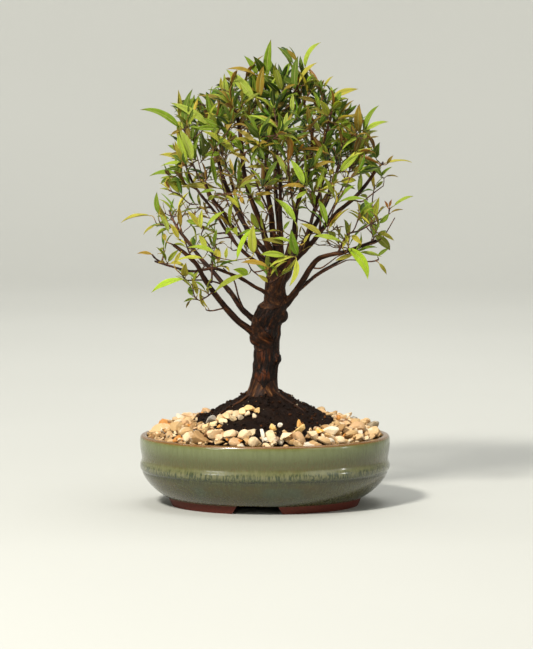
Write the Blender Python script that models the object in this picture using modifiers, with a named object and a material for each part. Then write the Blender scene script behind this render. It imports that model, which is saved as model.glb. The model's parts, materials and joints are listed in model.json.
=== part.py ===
"""Bonsai tree in an oval glazed pot: one closed solid for each piece of the real thing.

Metres, +Z up.  The origin is on the floor under the middle of the pot, +X is the pot's long
way and -Y is the side that the tree is shown from.
"""

import math
import random

import bmesh
import bpy
from mathutils import Matrix, Vector, noise
from mathutils.bvhtree import BVHTree

MM = 0.001

# Fits
GAP = 0.3 * MM  # air between pieces that touch
LEAF_CLEARANCE = 0.5 * MM  # least air round a leaf

# Pot
POT_WIDTH = 200.0 * MM
POT_DEPTH = 165.0 * MM
POT_HEIGHT = 56.0 * MM
RIM_WALL = 6.0 * MM
RIM_ROUND = 1.2 * MM
RIM_BAND = 8.0 * MM  # height of the upright band under the lip
NECK_INSET = 1.3 * MM
NECK_DROP = 21.0 * MM  # lip to the narrowest place of the neck
BELT_INSET = 0.8 * MM
BELT_DROP = 26.0 * MM  # lip to the top of the belt
BELT_HEIGHT = 4.0 * MM
BOWL_INSET = 3.0 * MM
BOWL_DROP = 34.0 * MM  # lip to where the bowl starts to turn in
BOWL_TURN = 15.6 * MM  # how far the bowl turns in on its way down
INNER_TURN = 14.0 * MM
INNER_INSET = 1.0 * MM
INNER_DROP = 30.0 * MM  # lip to where the inner wall starts to turn in
FLOOR_THICKNESS = 6.0 * MM
FOOT_HEIGHT = 6.5 * MM
FOOT_INSET = 3.4 * MM  # edge of the bowl's base to the outside of the foot ring
FOOT_TAPER = 2.0 * MM
FOOT_WALL = 10.0 * MM
FOOT_GAP = 42.0 * MM  # long sides
FOOT_END_GAP = 34.0 * MM  # short sides
FOOT_GAP_SLOPE = 4.0 * MM
FOOT_GAP_SHIFT = 6.0 * MM
FOOT_GAP_RISE = 0.3 * MM
DRAIN_RADIUS = 7.0 * MM
DRAIN_OFFSET = 38.0 * MM
SCREEN_SIZE = 26.0 * MM
SCREEN_THICKNESS = 0.8 * MM
SCREEN_CELLS = 7
STEPS = 48  # facets round the pot, the soil and the gravel

# Soil and gravel
SOIL_DROP = 8.0 * MM  # lip to the soil along the wall
MOUND_RISE = 32.0 * MM  # lip to the top of the mound
GRAVEL_THICKNESS = 5.0 * MM
GRAVEL_EDGE = 1.5 * MM  # thickness where the gravel thins out against the mound
GRAVEL_INNER = 58.0 * MM  # half-width of the bare mound
GRAVEL_BUMP = 1.6 * MM
SOIL_BUMP = 1.2 * MM
BUMP_SCALE = 90.0  # bumps in a metre

# Tree
TREE_SPREAD = 1.0  # the crown's reach against the tree as measured
TREE_RISE = 1.0  # the tree's height against the tree as measured
CROWN_WIDTH = 236.0 * MM  # no leaf reaches outside this box
CROWN_DEPTH = 178.0 * MM
CROWN_TOP = 371.0 * MM  # above the floor, in the tree as measured
ROOT_CROWN = 88.0 * MM  # height of the root crown in the tree as measured
TRUNK_SIDES = 12
TWIG_RADIUS = 1.1 * MM
TWIG_SIDES = 5
LEAF_LENGTH = 31.0 * MM
LEAF_WIDTH = 8.0 * MM
LEAF_THICKNESS = 0.9 * MM
LEAF_WIDEST = 0.45  # share of a leaf's length
LEAVES_ON_A_WHORL = 2
WHORLS = 4
WHORL_STEP = 2.6 * MM
LEAF_TRIES = 30
FREE_SHARE = 0.3  # share of a leaf next to its twig that may lie close to leaves of its own shoot
LEAF_SEED = 11

DEPTH_RATIO = POT_DEPTH / POT_WIDTH

# Trunk: middle of each section (x, y, z) and its radius, in millimetres
TRUNK = [
    (-1.2, 0.0, 66.0, 17.0),
    (-1.2, 0.0, 79.0, 16.5),
    (-1.1, 0.0, 88.0, 14.4),
    (-1.0, 0.0, 93.5, 11.9),
    (-0.2, 0.0, 101.0, 10.4),
    (0.2, 0.5, 109.0, 10.0),
    (1.4, 1.0, 117.0, 10.5),
    (1.4, 1.5, 124.0, 10.1),
    (1.0, 1.5, 130.0, 10.8),
    (0.5, 1.0, 137.0, 12.2),
    (1.5, 0.5, 146.0, 12.2),
    (4.5, 0.0, 153.0, 11.6),
    (8.1, -0.5, 159.5, 9.8),
    (8.1, -0.5, 167.0, 9.0),
    (8.1, 0.0, 174.0, 8.4),
    (9.0, 0.0, 180.0, 8.6),
    (11.5, 0.0, 186.0, 10.0),
    (12.7, 0.0, 192.0, 10.6),
    (13.0, 0.0, 197.0, 7.5),
]

# Burls on the trunk: middle and radius, in millimetres
BURLS = [(7.5, -2.5, 117.0, 5.6), (-6.5, -3.0, 133.0, 6.2), (12.0, -1.0, 151.5, 6.6), (2.0, -7.0, 139.0, 7.0)]

# Surface roots: name, radius at the start and the end, route
ROOTS = [
    ("root_left", 1.6, 0.9, [(-11, -7, 92), (-18, -10, 92), (-28, -13, 87), (-37, -17, 80), (-44, -19, 70)]),
    ("root_right", 1.5, 0.9, [(10, -8, 91), (18, -11, 91), (27, -15, 85), (36, -19, 78), (42, -21, 69)]),
]

# Boughs: name, radius at the start and the end, route from inside what they grow out of
BOUGHS = [
    ("bough_left_low_front", 4.0, 1.5, [
        (-2, -1, 131), (-11, -3, 139), (-23, -7, 149), (-34, -12, 162), (-42.5, -17, 173.5),
        (-49, -22, 184), (-54, -26, 194), (-63, -30, 203), (-72, -33, 210)]),
    ("bough_left_low_back", 3.2, 1.4, [
        (-1, 3, 140), (-10, 7, 148), (-19, 12, 156), (-26, 18, 166), (-34, 25, 175),
        (-43, 33, 185), (-52, 41, 194), (-61, 48, 205), (-70, 53, 216)]),
    ("bough_left_mid", 2.0, 1.0, [
        (6, -3, 164), (-1, -7, 171), (-8, -11, 175), (-18.6, -16, 182), (-30, -20, 187),
        (-41, -21, 190.5), (-58, -18, 188), (-75, -10, 191.5), (-88, -4, 195)]),
    ("bough_left_upper_outer", 2.0, 1.1, [
        (9, 1, 180), (0, 0, 188), (-7, 1, 194), (-15, 3, 200), (-23, 6, 208),
        (-32, 10, 220), (-41, 15, 234), (-51, 20, 246), (-58, 24, 256), (-63, 26, 268)]),
    ("bough_left_upper_mid", 2.2, 1.2, [
        (9, -3, 185), (2, -8, 195), (-7, -12, 203), (-18, -17, 213), (-26, -22, 224),
        (-34, -27, 237), (-41, -31, 246), (-47, -34, 258)]),
    ("bough_left_upper_inner", 3.0, 1.4, [
        (9, 3, 188), (2, 6, 200), (-6, 9, 209), (-13, 12, 218), (-21, 18, 231),
        (-27.5, 24, 245), (-33, 28, 258), (-38, 32, 275), (-42, 36, 295)]),
    ("leader_left", 3.6, 1.5, [
        (10, -2, 190), (4, -5, 204), (0, -8, 214), (-2.4, -11, 224), (-7, -14, 235),
        (-13, -17, 251), (-17, -18, 270), (-19, -18, 292), (-22, -16, 312)]),
    ("leader_centre", 4.0, 1.4, [
        (12, 3, 192), (9, 5, 205), (6, 6, 218), (5, 7, 232), (2, 7, 250),
        (1, 8, 270), (2, 8, 295), (2, 7, 322)]),
    ("leader_front", 2.6, 1.3, [
        (13, -4, 190), (13, -10, 204), (12.5, -17, 220), (12, -24, 238), (12, -30, 256), (10, -36, 275)]),
    ("leader_right", 3.2, 1.3, [
        (15, 1, 190), (19, 2, 203), (23, 1, 217), (25, -1, 236), (30, -3, 254),
        (36, -5, 275), (37, -7, 297), (31, -9, 320)]),
    ("bough_right_upper", 3.2, 1.4, [
        (16, 0, 186), (25, -1, 197), (33, -2, 205), (40, -5, 213), (46.5, -8, 222),
        (57, -11, 234), (70, -10, 245), (80, -7, 256), (88, -3, 267)]),
    ("bough_right_low", 4.4, 1.4, [
        (8, 0, 154), (16, -1, 160), (21, -2, 166), (26, -4, 173), (31.5, -6, 182), (36.5, -8, 190.5),
        (42, -11, 197), (50, -15, 200.5), (65, -19, 204), (77.5, -18, 208.5), (88.5, -14, 212)]),
    ("bough_right_thin", 1.5, 1.0, [
        (26, -3, 172), (34, 3, 178), (42, 8, 184), (52, 14, 189.5), (65, 20, 196), (78, 22, 203)]),
    ("bough_right_mid", 2.0, 1.2, [
        (31, 0, 203), (35, 6, 216), (38, 12, 230), (43, 17, 246), (48, 21, 264), (51, 24, 285)]),
    ("bough_back_left", 3.0, 1.4, [
        (9, 4, 172), (3, 12, 184), (-6, 24, 200), (-15, 36, 218), (-22, 48, 238), (-28, 58, 258)]),
    ("bough_back_right", 3.0, 1.4, [
        (12, 4, 176), (20, 14, 190), (30, 26, 206), (42, 38, 224), (52, 50, 244), (58, 58, 262)]),
    ("bough_back_centre", 3.0, 1.4, [
        (12, 5, 184), (12, 14, 200), (11, 26, 220), (9, 38, 242), (8, 48, 264), (8, 55, 285)]),
    ("bough_front_low", 2.4, 1.2, [
        (9, -4, 170), (13, -13, 182), (18, -22, 192), (22, -31, 204), (25, -38, 218)]),
]

# Leafy shoots: name, the bough that it grows on, how far along that bough (1 is its end),
# and where the whorl of leaves stands
SHOOTS = [
    ("shoot_left_low_tip", "bough_left_low_front", 1.0, (-80, -35, 226)),
    ("shoot_left_low_star", "bough_left_low_front", 0.74, (-50, -36, 219)),
    ("shoot_left_hanging", "bough_left_low_front", 0.42, (-54, -24, 166)),
    ("shoot_left_low_back_tip", "bough_left_low_back", 1.0, (-78, 58, 232)),
    ("shoot_left_low_back_side", "bough_left_low_back", 0.62, (-50, 56, 188)),
    ("shoot_left_mid_tip", "bough_left_mid", 1.0, (-94, -2, 199)),
    ("shoot_left_mid_side", "bough_left_mid", 0.66, (-66, -26, 181)),
    ("shoot_left_mid_upper", "bough_left_mid", 0.42, (-38, -30, 199)),
    ("shoot_left_upper_tip", "bough_left_upper_outer", 1.0, (-66, 22, 296)),
    ("shoot_left_upper_side", "bough_left_upper_outer", 0.62, (-60, 8, 240)),
    ("shoot_left_front_tip", "bough_left_upper_mid", 1.0, (-57, -38, 272)),
    ("shoot_left_inner_tip", "bough_left_upper_inner", 1.0, (-46, 36, 308)),
    ("shoot_leader_left_tip", "leader_left", 1.0, (-25, -18, 322)),
    ("shoot_leader_left_front", "leader_left", 0.66, (-22, -40, 284)),
    ("shoot_leader_centre_tip", "leader_centre", 1.0, (3, 6, 338)),
    ("shoot_leader_centre_side", "leader_centre", 0.78, (-5, -14, 322)),
    ("shoot_leader_front_tip", "leader_front", 1.0, (7, -50, 290)),
    ("shoot_leader_front_side", "leader_front", 0.6, (22, -50, 262)),
    ("shoot_leader_right_tip", "leader_right", 1.0, (25, -11, 334)),
    ("shoot_leader_right_side", "leader_right", 0.76, (46, -18, 318)),
    ("shoot_right_upper_tip", "bough_right_upper", 1.0, (93, -2, 273)),
    ("shoot_right_upper_side", "bough_right_upper", 0.66, (56, -32, 262)),
    ("shoot_right_upper_top", "bough_right_upper", 0.84, (76, 8, 294)),
    ("shoot_right_low_tip", "bough_right_low", 1.0, (96, -10, 236)),
    ("shoot_right_low_side", "bough_right_low", 0.6, (64, -36, 206)),
    ("shoot_right_low_up", "bough_right_low", 0.78, (84, -38, 224)),
    ("shoot_right_thin_tip", "bough_right_thin", 1.0, (92, 20, 212)),
    ("shoot_right_mid_tip", "bough_right_mid", 1.0, (56, 24, 306)),
    ("shoot_back_left_tip", "bough_back_left", 1.0, (-32, 64, 270)),
    ("shoot_back_right_tip", "bough_back_right", 1.0, (61, 63, 276)),
    ("shoot_back_centre_tip", "bough_back_centre", 1.0, (8, 58, 300)),
    ("shoot_front_low_tip", "bough_front_low", 1.0, (25, -46, 230)),
    ("shoot_front_low_side", "bough_front_low", 0.6, (-6, -48, 200)),
]


def clear_scene():
    for obj in list(bpy.data.objects):
        bpy.data.objects.remove(obj, do_unlink=True)


def new_collection(name):
    collection = bpy.data.collections.new(name)
    bpy.context.scene.collection.children.link(collection)
    return collection


def material(name, colour, roughness):
    mat = bpy.data.materials.new(name)
    mat.use_nodes = True
    shader = mat.node_tree.nodes["Principled BSDF"]
    shader.inputs["Base Color"].default_value = (*colour, 1.0)
    shader.inputs["Roughness"].default_value = roughness
    mat.diffuse_color = (*colour, 1.0)
    return mat


def add_object(name, data, mat):
    """Link a new object to the tree's collection."""
    obj = bpy.data.objects.new(name, data)
    obj.data.materials.clear()
    obj.data.materials.append(mat)
    PARTS.objects.link(obj)
    return obj


def bake(obj):
    """Turn a curve, or a mesh with modifiers, into the plain mesh that it evaluates to."""
    depsgraph = bpy.context.evaluated_depsgraph_get()
    mesh = bpy.data.meshes.new_from_object(obj.evaluated_get(depsgraph))
    name = obj.name
    mat = obj.data.materials[0]
    matrix = obj.matrix_world.copy()
    bpy.data.objects.remove(obj, do_unlink=True)
    bm = bmesh.new()
    bm.from_mesh(mesh)
    bmesh.ops.remove_doubles(bm, verts=bm.verts, dist=0.002 * MM)
    bmesh.ops.recalc_face_normals(bm, faces=bm.faces)
    bm.to_mesh(mesh)
    bm.free()
    baked = add_object(name, mesh, mat)
    baked.matrix_world = matrix
    return baked


def smooth(obj):
    for polygon in obj.data.polygons:
        polygon.use_smooth = True
    return obj


def grown(obj, distance):
    """A copy of a solid, grown outward by a distance, to cut its seat in a neighbour."""
    copy = add_object("seat_cutter", obj.data.copy(), obj.data.materials[0])
    swell = copy.modifiers.new("swell", "DISPLACE")
    swell.strength = distance
    swell.mid_level = 0.0
    return bake(copy)


def boolean(obj, other, operation="DIFFERENCE"):
    """Cut or join with an exact Boolean, and use up the other solid."""
    modifier = obj.modifiers.new(operation.lower(), "BOOLEAN")
    modifier.operation = operation
    modifier.object = other
    result = bake(obj)
    bpy.data.objects.remove(other, do_unlink=True)
    return result


def keep_largest(obj):
    """Drop the offcuts that a cut leaves behind."""
    bm = bmesh.new()
    bm.from_mesh(obj.data)
    left = set(bm.verts)
    islands = []
    while left:
        island = {left.pop()}
        edge_of_island = list(island)
        while edge_of_island:
            vert = edge_of_island.pop()
            near = {edge.other_vert(vert) for edge in vert.link_edges} & left
            left -= near
            island |= near
            edge_of_island.extend(near)
        islands.append(island)
    islands.sort(key=len)
    for island in islands[:-1]:
        bmesh.ops.delete(bm, geom=list(island), context="VERTS")
    bm.to_mesh(obj.data)
    bm.free()
    return obj


def boxes_meet(first, second, margin):
    """Whether two objects' bounding boxes come within a margin."""
    spans = []
    for obj in (first, second):
        corners = [obj.matrix_world @ Vector(corner) for corner in obj.bound_box]
        spans.append([(min(c[i] for c in corners), max(c[i] for c in corners)) for i in range(3)])
    return all(a[0] - margin < b[1] and b[0] - margin < a[1] for a, b in zip(*spans))


# ---------------------------------------------------------------- turned pieces


def arc(radius_top, z_top, turn, drop, segments):
    """Quarter of an ellipse that runs down and in."""
    points = []
    for i in range(1, segments + 1):
        angle = 0.5 * math.pi * i / segments
        points.append((radius_top - turn * (1.0 - math.cos(angle)), z_top - drop * math.sin(angle)))
    return points


def inner_wall():
    """Stations down the inside of the pot, from below the lip to the edge of its floor."""
    half = POT_WIDTH / 2 - RIM_WALL
    floor = FOOT_HEIGHT + FLOOR_THICKNESS
    bend = POT_HEIGHT - INNER_DROP
    stations = [(half, POT_HEIGHT - RIM_ROUND), (half, POT_HEIGHT - SOIL_DROP), (half - INNER_INSET, bend)]
    return stations + arc(half - INNER_INSET, bend, INNER_TURN, bend - floor, 4)


def outer_wall():
    """Stations down the outside of the pot, from the lip to the edge of its base."""
    half = POT_WIDTH / 2
    bowl_top = POT_HEIGHT - BOWL_DROP
    stations = [
        (half - RIM_ROUND, POT_HEIGHT),
        (half, POT_HEIGHT - RIM_ROUND),
        (half, POT_HEIGHT - RIM_BAND),
        (half - NECK_INSET, POT_HEIGHT - NECK_DROP),
        (half - BELT_INSET, POT_HEIGHT - BELT_DROP),
        (half - BELT_INSET, POT_HEIGHT - BELT_DROP - BELT_HEIGHT),
        (half - BOWL_INSET, bowl_top),
    ]
    return stations + arc(half - BOWL_INSET, bowl_top, BOWL_TURN, bowl_top - FOOT_HEIGHT, 5)


def turned(name, profile, mat):
    """Oval solid from a half profile of (half-width, height), which runs down its outer side."""
    mesh = bpy.data.meshes.new(name)
    bm = bmesh.new()
    verts = [bm.verts.new((x, 0.0, z)) for x, z in profile]
    for first, second in zip(verts, verts[1:]):
        bm.edges.new((first, second))
    if profile[0][0] > 0.0:
        bm.edges.new((verts[-1], verts[0]))
    bm.to_mesh(mesh)
    bm.free()
    obj = add_object(name, mesh, mat)
    screw = obj.modifiers.new("turn", "SCREW")
    screw.axis = "Z"
    screw.angle = 2.0 * math.pi
    screw.steps = STEPS
    screw.render_steps = STEPS
    screw.use_merge_vertices = True
    screw.merge_threshold = 0.00001
    obj = bake(obj)
    obj.data.transform(Matrix.Scale(DEPTH_RATIO, 4, (0.0, 1.0, 0.0)))
    return obj


def foot_gap_cutter(width, x, y, turn):
    """Block with sloping ends that opens a gap in the foot ring."""
    bpy.ops.mesh.primitive_cube_add(size=1.0)
    block = bpy.context.object
    top = FOOT_HEIGHT + FOOT_GAP_RISE
    reach = FOOT_WALL * 5.0
    for vert in block.data.vertices:
        side = 2.0 * vert.co.x
        high = vert.co.z > 0.0
        vert.co.x = side * (width / 2 - (FOOT_GAP_SLOPE if high else -FOOT_GAP_SLOPE / 2))
        vert.co.y *= reach
        vert.co.z = top if high else -FOOT_HEIGHT
    block.data.transform(Matrix.Rotation(turn, 4, "Z"))
    block.data.transform(Matrix.Translation((x, y, 0.0)))
    return own(block, "foot_gap_cutter", GLAZE)


def own(obj, name, mat):
    """Give a primitive its name and material, and move it to the tree's collection."""
    for collection in list(obj.users_collection):
        collection.objects.unlink(obj)
    PARTS.objects.link(obj)
    obj.name = name
    obj.data.materials.clear()
    obj.data.materials.append(mat)
    return obj


def drain_places():
    return [(-DRAIN_OFFSET, "drain_screen_left"), (DRAIN_OFFSET, "drain_screen_right")]


def make_pot():
    floor = FOOT_HEIGHT + FLOOR_THICKNESS
    foot = POT_WIDTH / 2 - BOWL_INSET - BOWL_TURN - FOOT_INSET
    lip = [(POT_WIDTH / 2 - RIM_WALL + RIM_ROUND, POT_HEIGHT)]
    ring = [
        (foot, FOOT_HEIGHT - RIM_ROUND / 2),
        (foot - FOOT_TAPER, 0.0),
        (foot - FOOT_WALL, 0.0),
        (foot - FOOT_WALL, FOOT_HEIGHT),
    ]
    profile = [(0.0, floor)] + inner_wall()[::-1] + lip + outer_wall() + ring + [(0.0, FOOT_HEIGHT)]
    pot = turned("pot", profile, GLAZE)
    end = POT_WIDTH / 2 - BOWL_TURN - BOWL_INSET
    side = end * DEPTH_RATIO
    gaps = [
        (FOOT_GAP, -FOOT_GAP_SHIFT, -side, 0.0),
        (FOOT_GAP, FOOT_GAP_SHIFT, side, 0.0),
        (FOOT_END_GAP, -end, 0.0, math.pi / 2),
        (FOOT_END_GAP, end, 0.0, math.pi / 2),
    ]
    for gap in gaps:
        pot = boolean(pot, foot_gap_cutter(*gap))
    for x, _ in drain_places():
        bpy.ops.mesh.primitive_cylinder_add(
            vertices=20, radius=DRAIN_RADIUS, depth=4.0 * FLOOR_THICKNESS, location=(x, 0.0, floor)
        )
        pot = boolean(pot, bake(own(bpy.context.object, "drain_cutter", GLAZE)))
    return smooth(pot)


def make_screen(name, x):
    """Square of drain mesh, lying on the pot's floor."""
    bpy.ops.mesh.primitive_grid_add(x_subdivisions=SCREEN_CELLS, y_subdivisions=SCREEN_CELLS, size=SCREEN_SIZE)
    screen = own(bpy.context.object, name, MESH_PLASTIC)
    cell = SCREEN_SIZE / SCREEN_CELLS
    bm = bmesh.new()
    bm.from_mesh(screen.data)
    holes = []
    for face in bm.faces:
        centre = face.calc_center_median()
        column = round((centre.x + SCREEN_SIZE / 2) / cell - 0.5)
        row = round((centre.y + SCREEN_SIZE / 2) / cell - 0.5)
        if column % 2 == 1 and row % 2 == 1:
            holes.append(face)
    bmesh.ops.delete(bm, geom=holes, context="FACES")
    bm.to_mesh(screen.data)
    bm.free()
    thick = screen.modifiers.new("thickness", "SOLIDIFY")
    thick.thickness = SCREEN_THICKNESS
    thick.offset = 1.0
    screen = bake(screen)
    screen.data.transform(Matrix.Translation((x, 0.0, FOOT_HEIGHT + FLOOR_THICKNESS + GAP)))
    return screen


def soil_top():
    """Stations over the soil, from the wall to the middle of the mound."""
    edge = POT_WIDTH / 2 - RIM_WALL - GAP
    mound = GRAVEL_INNER
    base = POT_HEIGHT - SOIL_DROP
    rise = SOIL_DROP + MOUND_RISE
    return [
        (edge, base),
        (mound + 0.75 * (edge - mound), base + 0.20 * rise),
        (mound + 0.40 * (edge - mound), base + 0.33 * rise),
        (mound, base + 0.45 * rise),
        (0.80 * mound, base + 0.56 * rise),
        (0.58 * mound, base + 0.74 * rise),
        (0.40 * mound, base + 0.90 * rise),
        (0.20 * mound, base + rise),
        (0.0, base + rise),
    ]


def lump(x, y, height):
    """Smooth bumps between 0 and a height."""
    return height * 0.5 * (1.0 + noise.noise(Vector((x * BUMP_SCALE, y * BUMP_SCALE, 0.0))))


def make_soil(trunk, roots):
    floor = FOOT_HEIGHT + FLOOR_THICKNESS + GAP
    wall = [(x - GAP, max(z, floor)) for x, z in inner_wall()[1:]]
    soil = turned("soil", soil_top()[::-1] + wall[1:] + [(0.0, floor)], SOIL)
    for vert in soil.data.vertices:
        across = math.hypot(vert.co.x, vert.co.y / DEPTH_RATIO)
        if across < 0.99 * GRAVEL_INNER and vert.co.z > POT_HEIGHT:
            vert.co.z += lump(vert.co.x, vert.co.y, SOIL_BUMP)
    for piece in [trunk] + roots:
        soil = boolean(soil, grown(piece, GAP))
    for x, _ in drain_places():
        bpy.ops.mesh.primitive_cube_add(size=1.0)
        recess = own(bpy.context.object, "recess_cutter", SOIL)
        width = SCREEN_SIZE + 2.0 * GAP
        recess.data.transform(Matrix.Diagonal((width, width, 2.0 * (SCREEN_THICKNESS + GAP), 1.0)))
        recess.data.transform(Matrix.Translation((x, 0.0, floor)))
        soil = boolean(soil, recess)
    return smooth(keep_largest(soil))


def make_gravel(roots):
    under = [(x, z + GAP) for x, z in soil_top() if x >= GRAVEL_INNER - MM / 10]
    steps = len(under) - 1
    over = []
    for i, (x, z) in enumerate(under):
        thickness = GRAVEL_THICKNESS + (GRAVEL_EDGE - GRAVEL_THICKNESS) * (i / steps) ** 3
        over.append((x, z + thickness))
    bed = turned("gravel_bed", over[::-1] + under, GRAVEL)
    for vert in bed.data.vertices:
        across = math.hypot(vert.co.x, vert.co.y / DEPTH_RATIO)
        base = height_at(under, across)
        if vert.co.z > base + GRAVEL_EDGE / 2:
            vert.co.z += lump(3.0 * vert.co.x, 3.0 * vert.co.y, GRAVEL_BUMP)
    for root in roots:
        if boxes_meet(bed, root, GAP):
            bed = boolean(bed, grown(root, GAP))
    return smooth(keep_largest(bed))


def height_at(stations, across):
    """Height of a run of stations at a half-width, between the two stations next to it."""
    for (x0, z0), (x1, z1) in zip(stations, stations[1:]):
        if x1 <= across <= x0:
            return z0 + (z1 - z0) * (x0 - across) / (x0 - x1)
    return stations[0][1] if across > stations[0][0] else stations[-1][1]


# ---------------------------------------------------------------- wood


def place(x, y, z):
    """Where a measured point of the tree stands on this pot; below the root crown it keeps its depth."""
    height = z * MM - ROOT_CROWN
    if height > 0.0:
        height *= TREE_RISE
    return Vector((x * MM * TREE_SPREAD, y * MM * TREE_SPREAD, POT_HEIGHT + MOUND_RISE + height))


def limb(name, points, radii, mat, resolution):
    """Tapering tube along a run of points."""
    curve = bpy.data.curves.new(name, "CURVE")
    curve.dimensions = "3D"
    curve.bevel_depth = 1.0
    curve.bevel_resolution = resolution
    curve.use_fill_caps = True
    spline = curve.splines.new("POLY")
    spline.points.add(len(points) - 1)
    for knot, point, radius in zip(spline.points, points, radii):
        knot.co = (*point, 1.0)
        knot.radius = radius
    return bake(add_object(name, curve, mat))


def limb_radii(first, last, count):
    return [(first + (last - first) * (i / (count - 1)) ** 0.7) * MM for i in range(count)]


def make_trunk():
    points = [place(*section[:3]) for section in TRUNK]
    radii = [section[3] * MM for section in TRUNK]
    trunk = limb("trunk", points, radii, BARK, TRUNK_SIDES // 2 - 2)
    for x, y, z, radius in BURLS:
        bpy.ops.mesh.primitive_uv_sphere_add(segments=8, ring_count=6, radius=radius * MM)
        burl = own(bpy.context.object, "burl", BARK)
        burl.data.transform(Matrix.Translation(place(x, y, z)))
        trunk = boolean(trunk, burl, "UNION")
    return smooth(trunk)


def make_limbs(table, wood, mat, resolution):
    """Limbs in order, each seated with a gap against the wood that is already there."""
    limbs = []
    for name, first, last, route in table:
        points = [place(*point) for point in route]
        piece = limb(name, points, limb_radii(first, last, len(points)), mat, resolution)
        for other in wood + limbs:
            if boxes_meet(piece, other, GAP):
                piece = boolean(piece, grown(other, GAP))
        limbs.append(smooth(keep_largest(piece)))
    return limbs


# ---------------------------------------------------------------- leafy shoots


def along(points, share):
    """Point and direction at a share of the length of a route."""
    lengths = [(b - a).length for a, b in zip(points, points[1:])]
    goal = share * sum(lengths)
    for index, length in enumerate(lengths):
        if goal <= length or index == len(lengths) - 1:
            first, second = points[index], points[index + 1]
            return first.lerp(second, min(1.0, goal / length)), (second - first).normalized(), index
        goal -= length


def twig_route(bough, share, whorl):
    """Where a twig leaves its bough, which way, and the points that it follows."""
    _, first, last, route = next(row for row in BOUGHS if row[0] == bough)
    points = [place(*point) for point in route]
    target = place(*whorl)
    spot, direction, index = along(points, share)
    if share < 1.0:
        out = (target - spot) - direction * (target - spot).dot(direction)
        direction = out.normalized()
        radii = limb_radii(first, last, len(points))
        start = spot + direction * (max(radii[index], radii[index + 1]) + GAP)
    else:
        start = spot + direction * GAP
    reach = (target - start).length
    bend = start + direction * (0.4 * reach)
    route = [start, start + direction * (2.0 * TWIG_RADIUS)]
    for i in range(1, 4):
        t = i / 3.0
        route.append(route[1] * (1 - t) ** 2 + bend * (2 * t * (1 - t)) + target * t**2)
    return route, direction


def twig_rings(route, direction):
    """Rings of points round a twig, carried along it without twisting."""
    heading = (route[-1] - route[-2]).normalized()
    centres = route + [route[-1] + heading * (WHORL_STEP * (i + 1)) for i in range(WHORLS)]
    side = direction.orthogonal().normalized()
    rings = []
    for index, centre in enumerate(centres):
        tangent = direction
        if index > 0:
            ahead = centres[min(index + 1, len(centres) - 1)]
            tangent = (ahead - centres[index - 1]).normalized()
        side = (side - tangent * side.dot(tangent)).normalized()
        across = tangent.cross(side)
        radius = TWIG_RADIUS * (1.0 - 0.45 * index / len(centres))
        angles = [2.0 * math.pi * i / TWIG_SIDES for i in range(TWIG_SIDES)]
        rings.append([centre + (side * math.cos(a) + across * math.sin(a)) * radius for a in angles])
    return rings, heading


def leaf_sections(patch, out, up, length, width, thickness, droop):
    """Corners of a leaf at its widest place, and its tip, grown from a patch of the twig."""
    root = sum(patch, Vector()) / 4
    across = out.cross(up).normalized()
    if across.dot(patch[1] - patch[0]) < 0.0:
        across.negate()
    middle = root + out * (LEAF_WIDEST * length) - Vector((0.0, 0.0, 0.3 * droop))
    tip = root + out * length - Vector((0.0, 0.0, droop))
    half = across * (width / 2)
    skin = up * (thickness / 2)
    widest = [middle - half - skin, middle + half - skin, middle + half + skin, middle - half + skin]
    return widest, tip


def leaf_shell(patch, widest, tip, start_share):
    """Search tree of a leaf, from a share of the way between its twig and its widest place."""
    start = [near.lerp(far, start_share) for near, far in zip(patch, widest)]
    verts = start + widest + [tip]
    faces = [(0, 1, 2, 3)]
    faces += [(i, (i + 1) % 4, 4 + (i + 1) % 4, 4 + i) for i in range(4)]
    faces += [(4 + i, 4 + (i + 1) % 4, 8) for i in range(4)]
    return BVHTree.FromPolygons(verts, faces)


def outside_crown(room):
    """Whether a leaf's widest place or tip leaves the box that the crown is grown in."""
    limit = place(CROWN_WIDTH / MM / 2, CROWN_DEPTH / MM / 2, CROWN_TOP / MM)
    widest, tip = room
    return any(abs(p.x) > limit.x or abs(p.y) > limit.y or p.z > limit.z for p in widest + [tip])


def find_leaf(patch, heading, rng, solids, leaves, shoot):
    """Turn and shorten a leaf until it clears everything, or give up and leave a bare bud."""
    root = sum(patch, Vector()) / 4
    normal = (patch[1] - patch[0]).cross(patch[3] - patch[0]).normalized()
    if normal.dot(heading) > 0.9:
        return None
    side = heading.cross(normal).normalized()
    for attempt in range(LEAF_TRIES):
        lift = rng.uniform(0.2, 1.5)
        yaw = rng.uniform(-0.45, 0.45)
        out = (normal + heading * lift + side * yaw).normalized()
        up = (heading - out * heading.dot(out)).normalized()
        length = LEAF_LENGTH * rng.uniform(0.82, 1.1) * (1.0 - 0.6 * attempt / LEAF_TRIES)
        droop = length * rng.uniform(0.0, 0.18)
        room = leaf_sections(
            patch, out, up, length + LEAF_CLEARANCE, LEAF_WIDTH + 2 * LEAF_CLEARANCE,
            LEAF_THICKNESS + 2 * LEAF_CLEARANCE, droop
        )
        if outside_crown(room):
            continue
        shell = leaf_shell(patch, *room, FREE_SHARE)
        if any(shell.overlap(solid) for solid in solids):
            continue
        near = [leaf for leaf in leaves if (leaf[0] - root).length < 2.5 * LEAF_LENGTH]
        if any(shell.overlap(other) for _, other, _, _ in near):
            continue
        leaf = leaf_sections(patch, out, up, length, LEAF_WIDTH, LEAF_THICKNESS, droop)
        whole = leaf_shell(patch, *leaf, 0.0)
        foreign = [(other, other_whole) for _, other, other_whole, owner in near if owner != shoot]
        if any(whole.overlap(other) or shell.overlap(other_whole) for other, other_whole in foreign):
            continue
        leaves.append((root, shell, whole, shoot))
        return leaf
    return None


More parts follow.
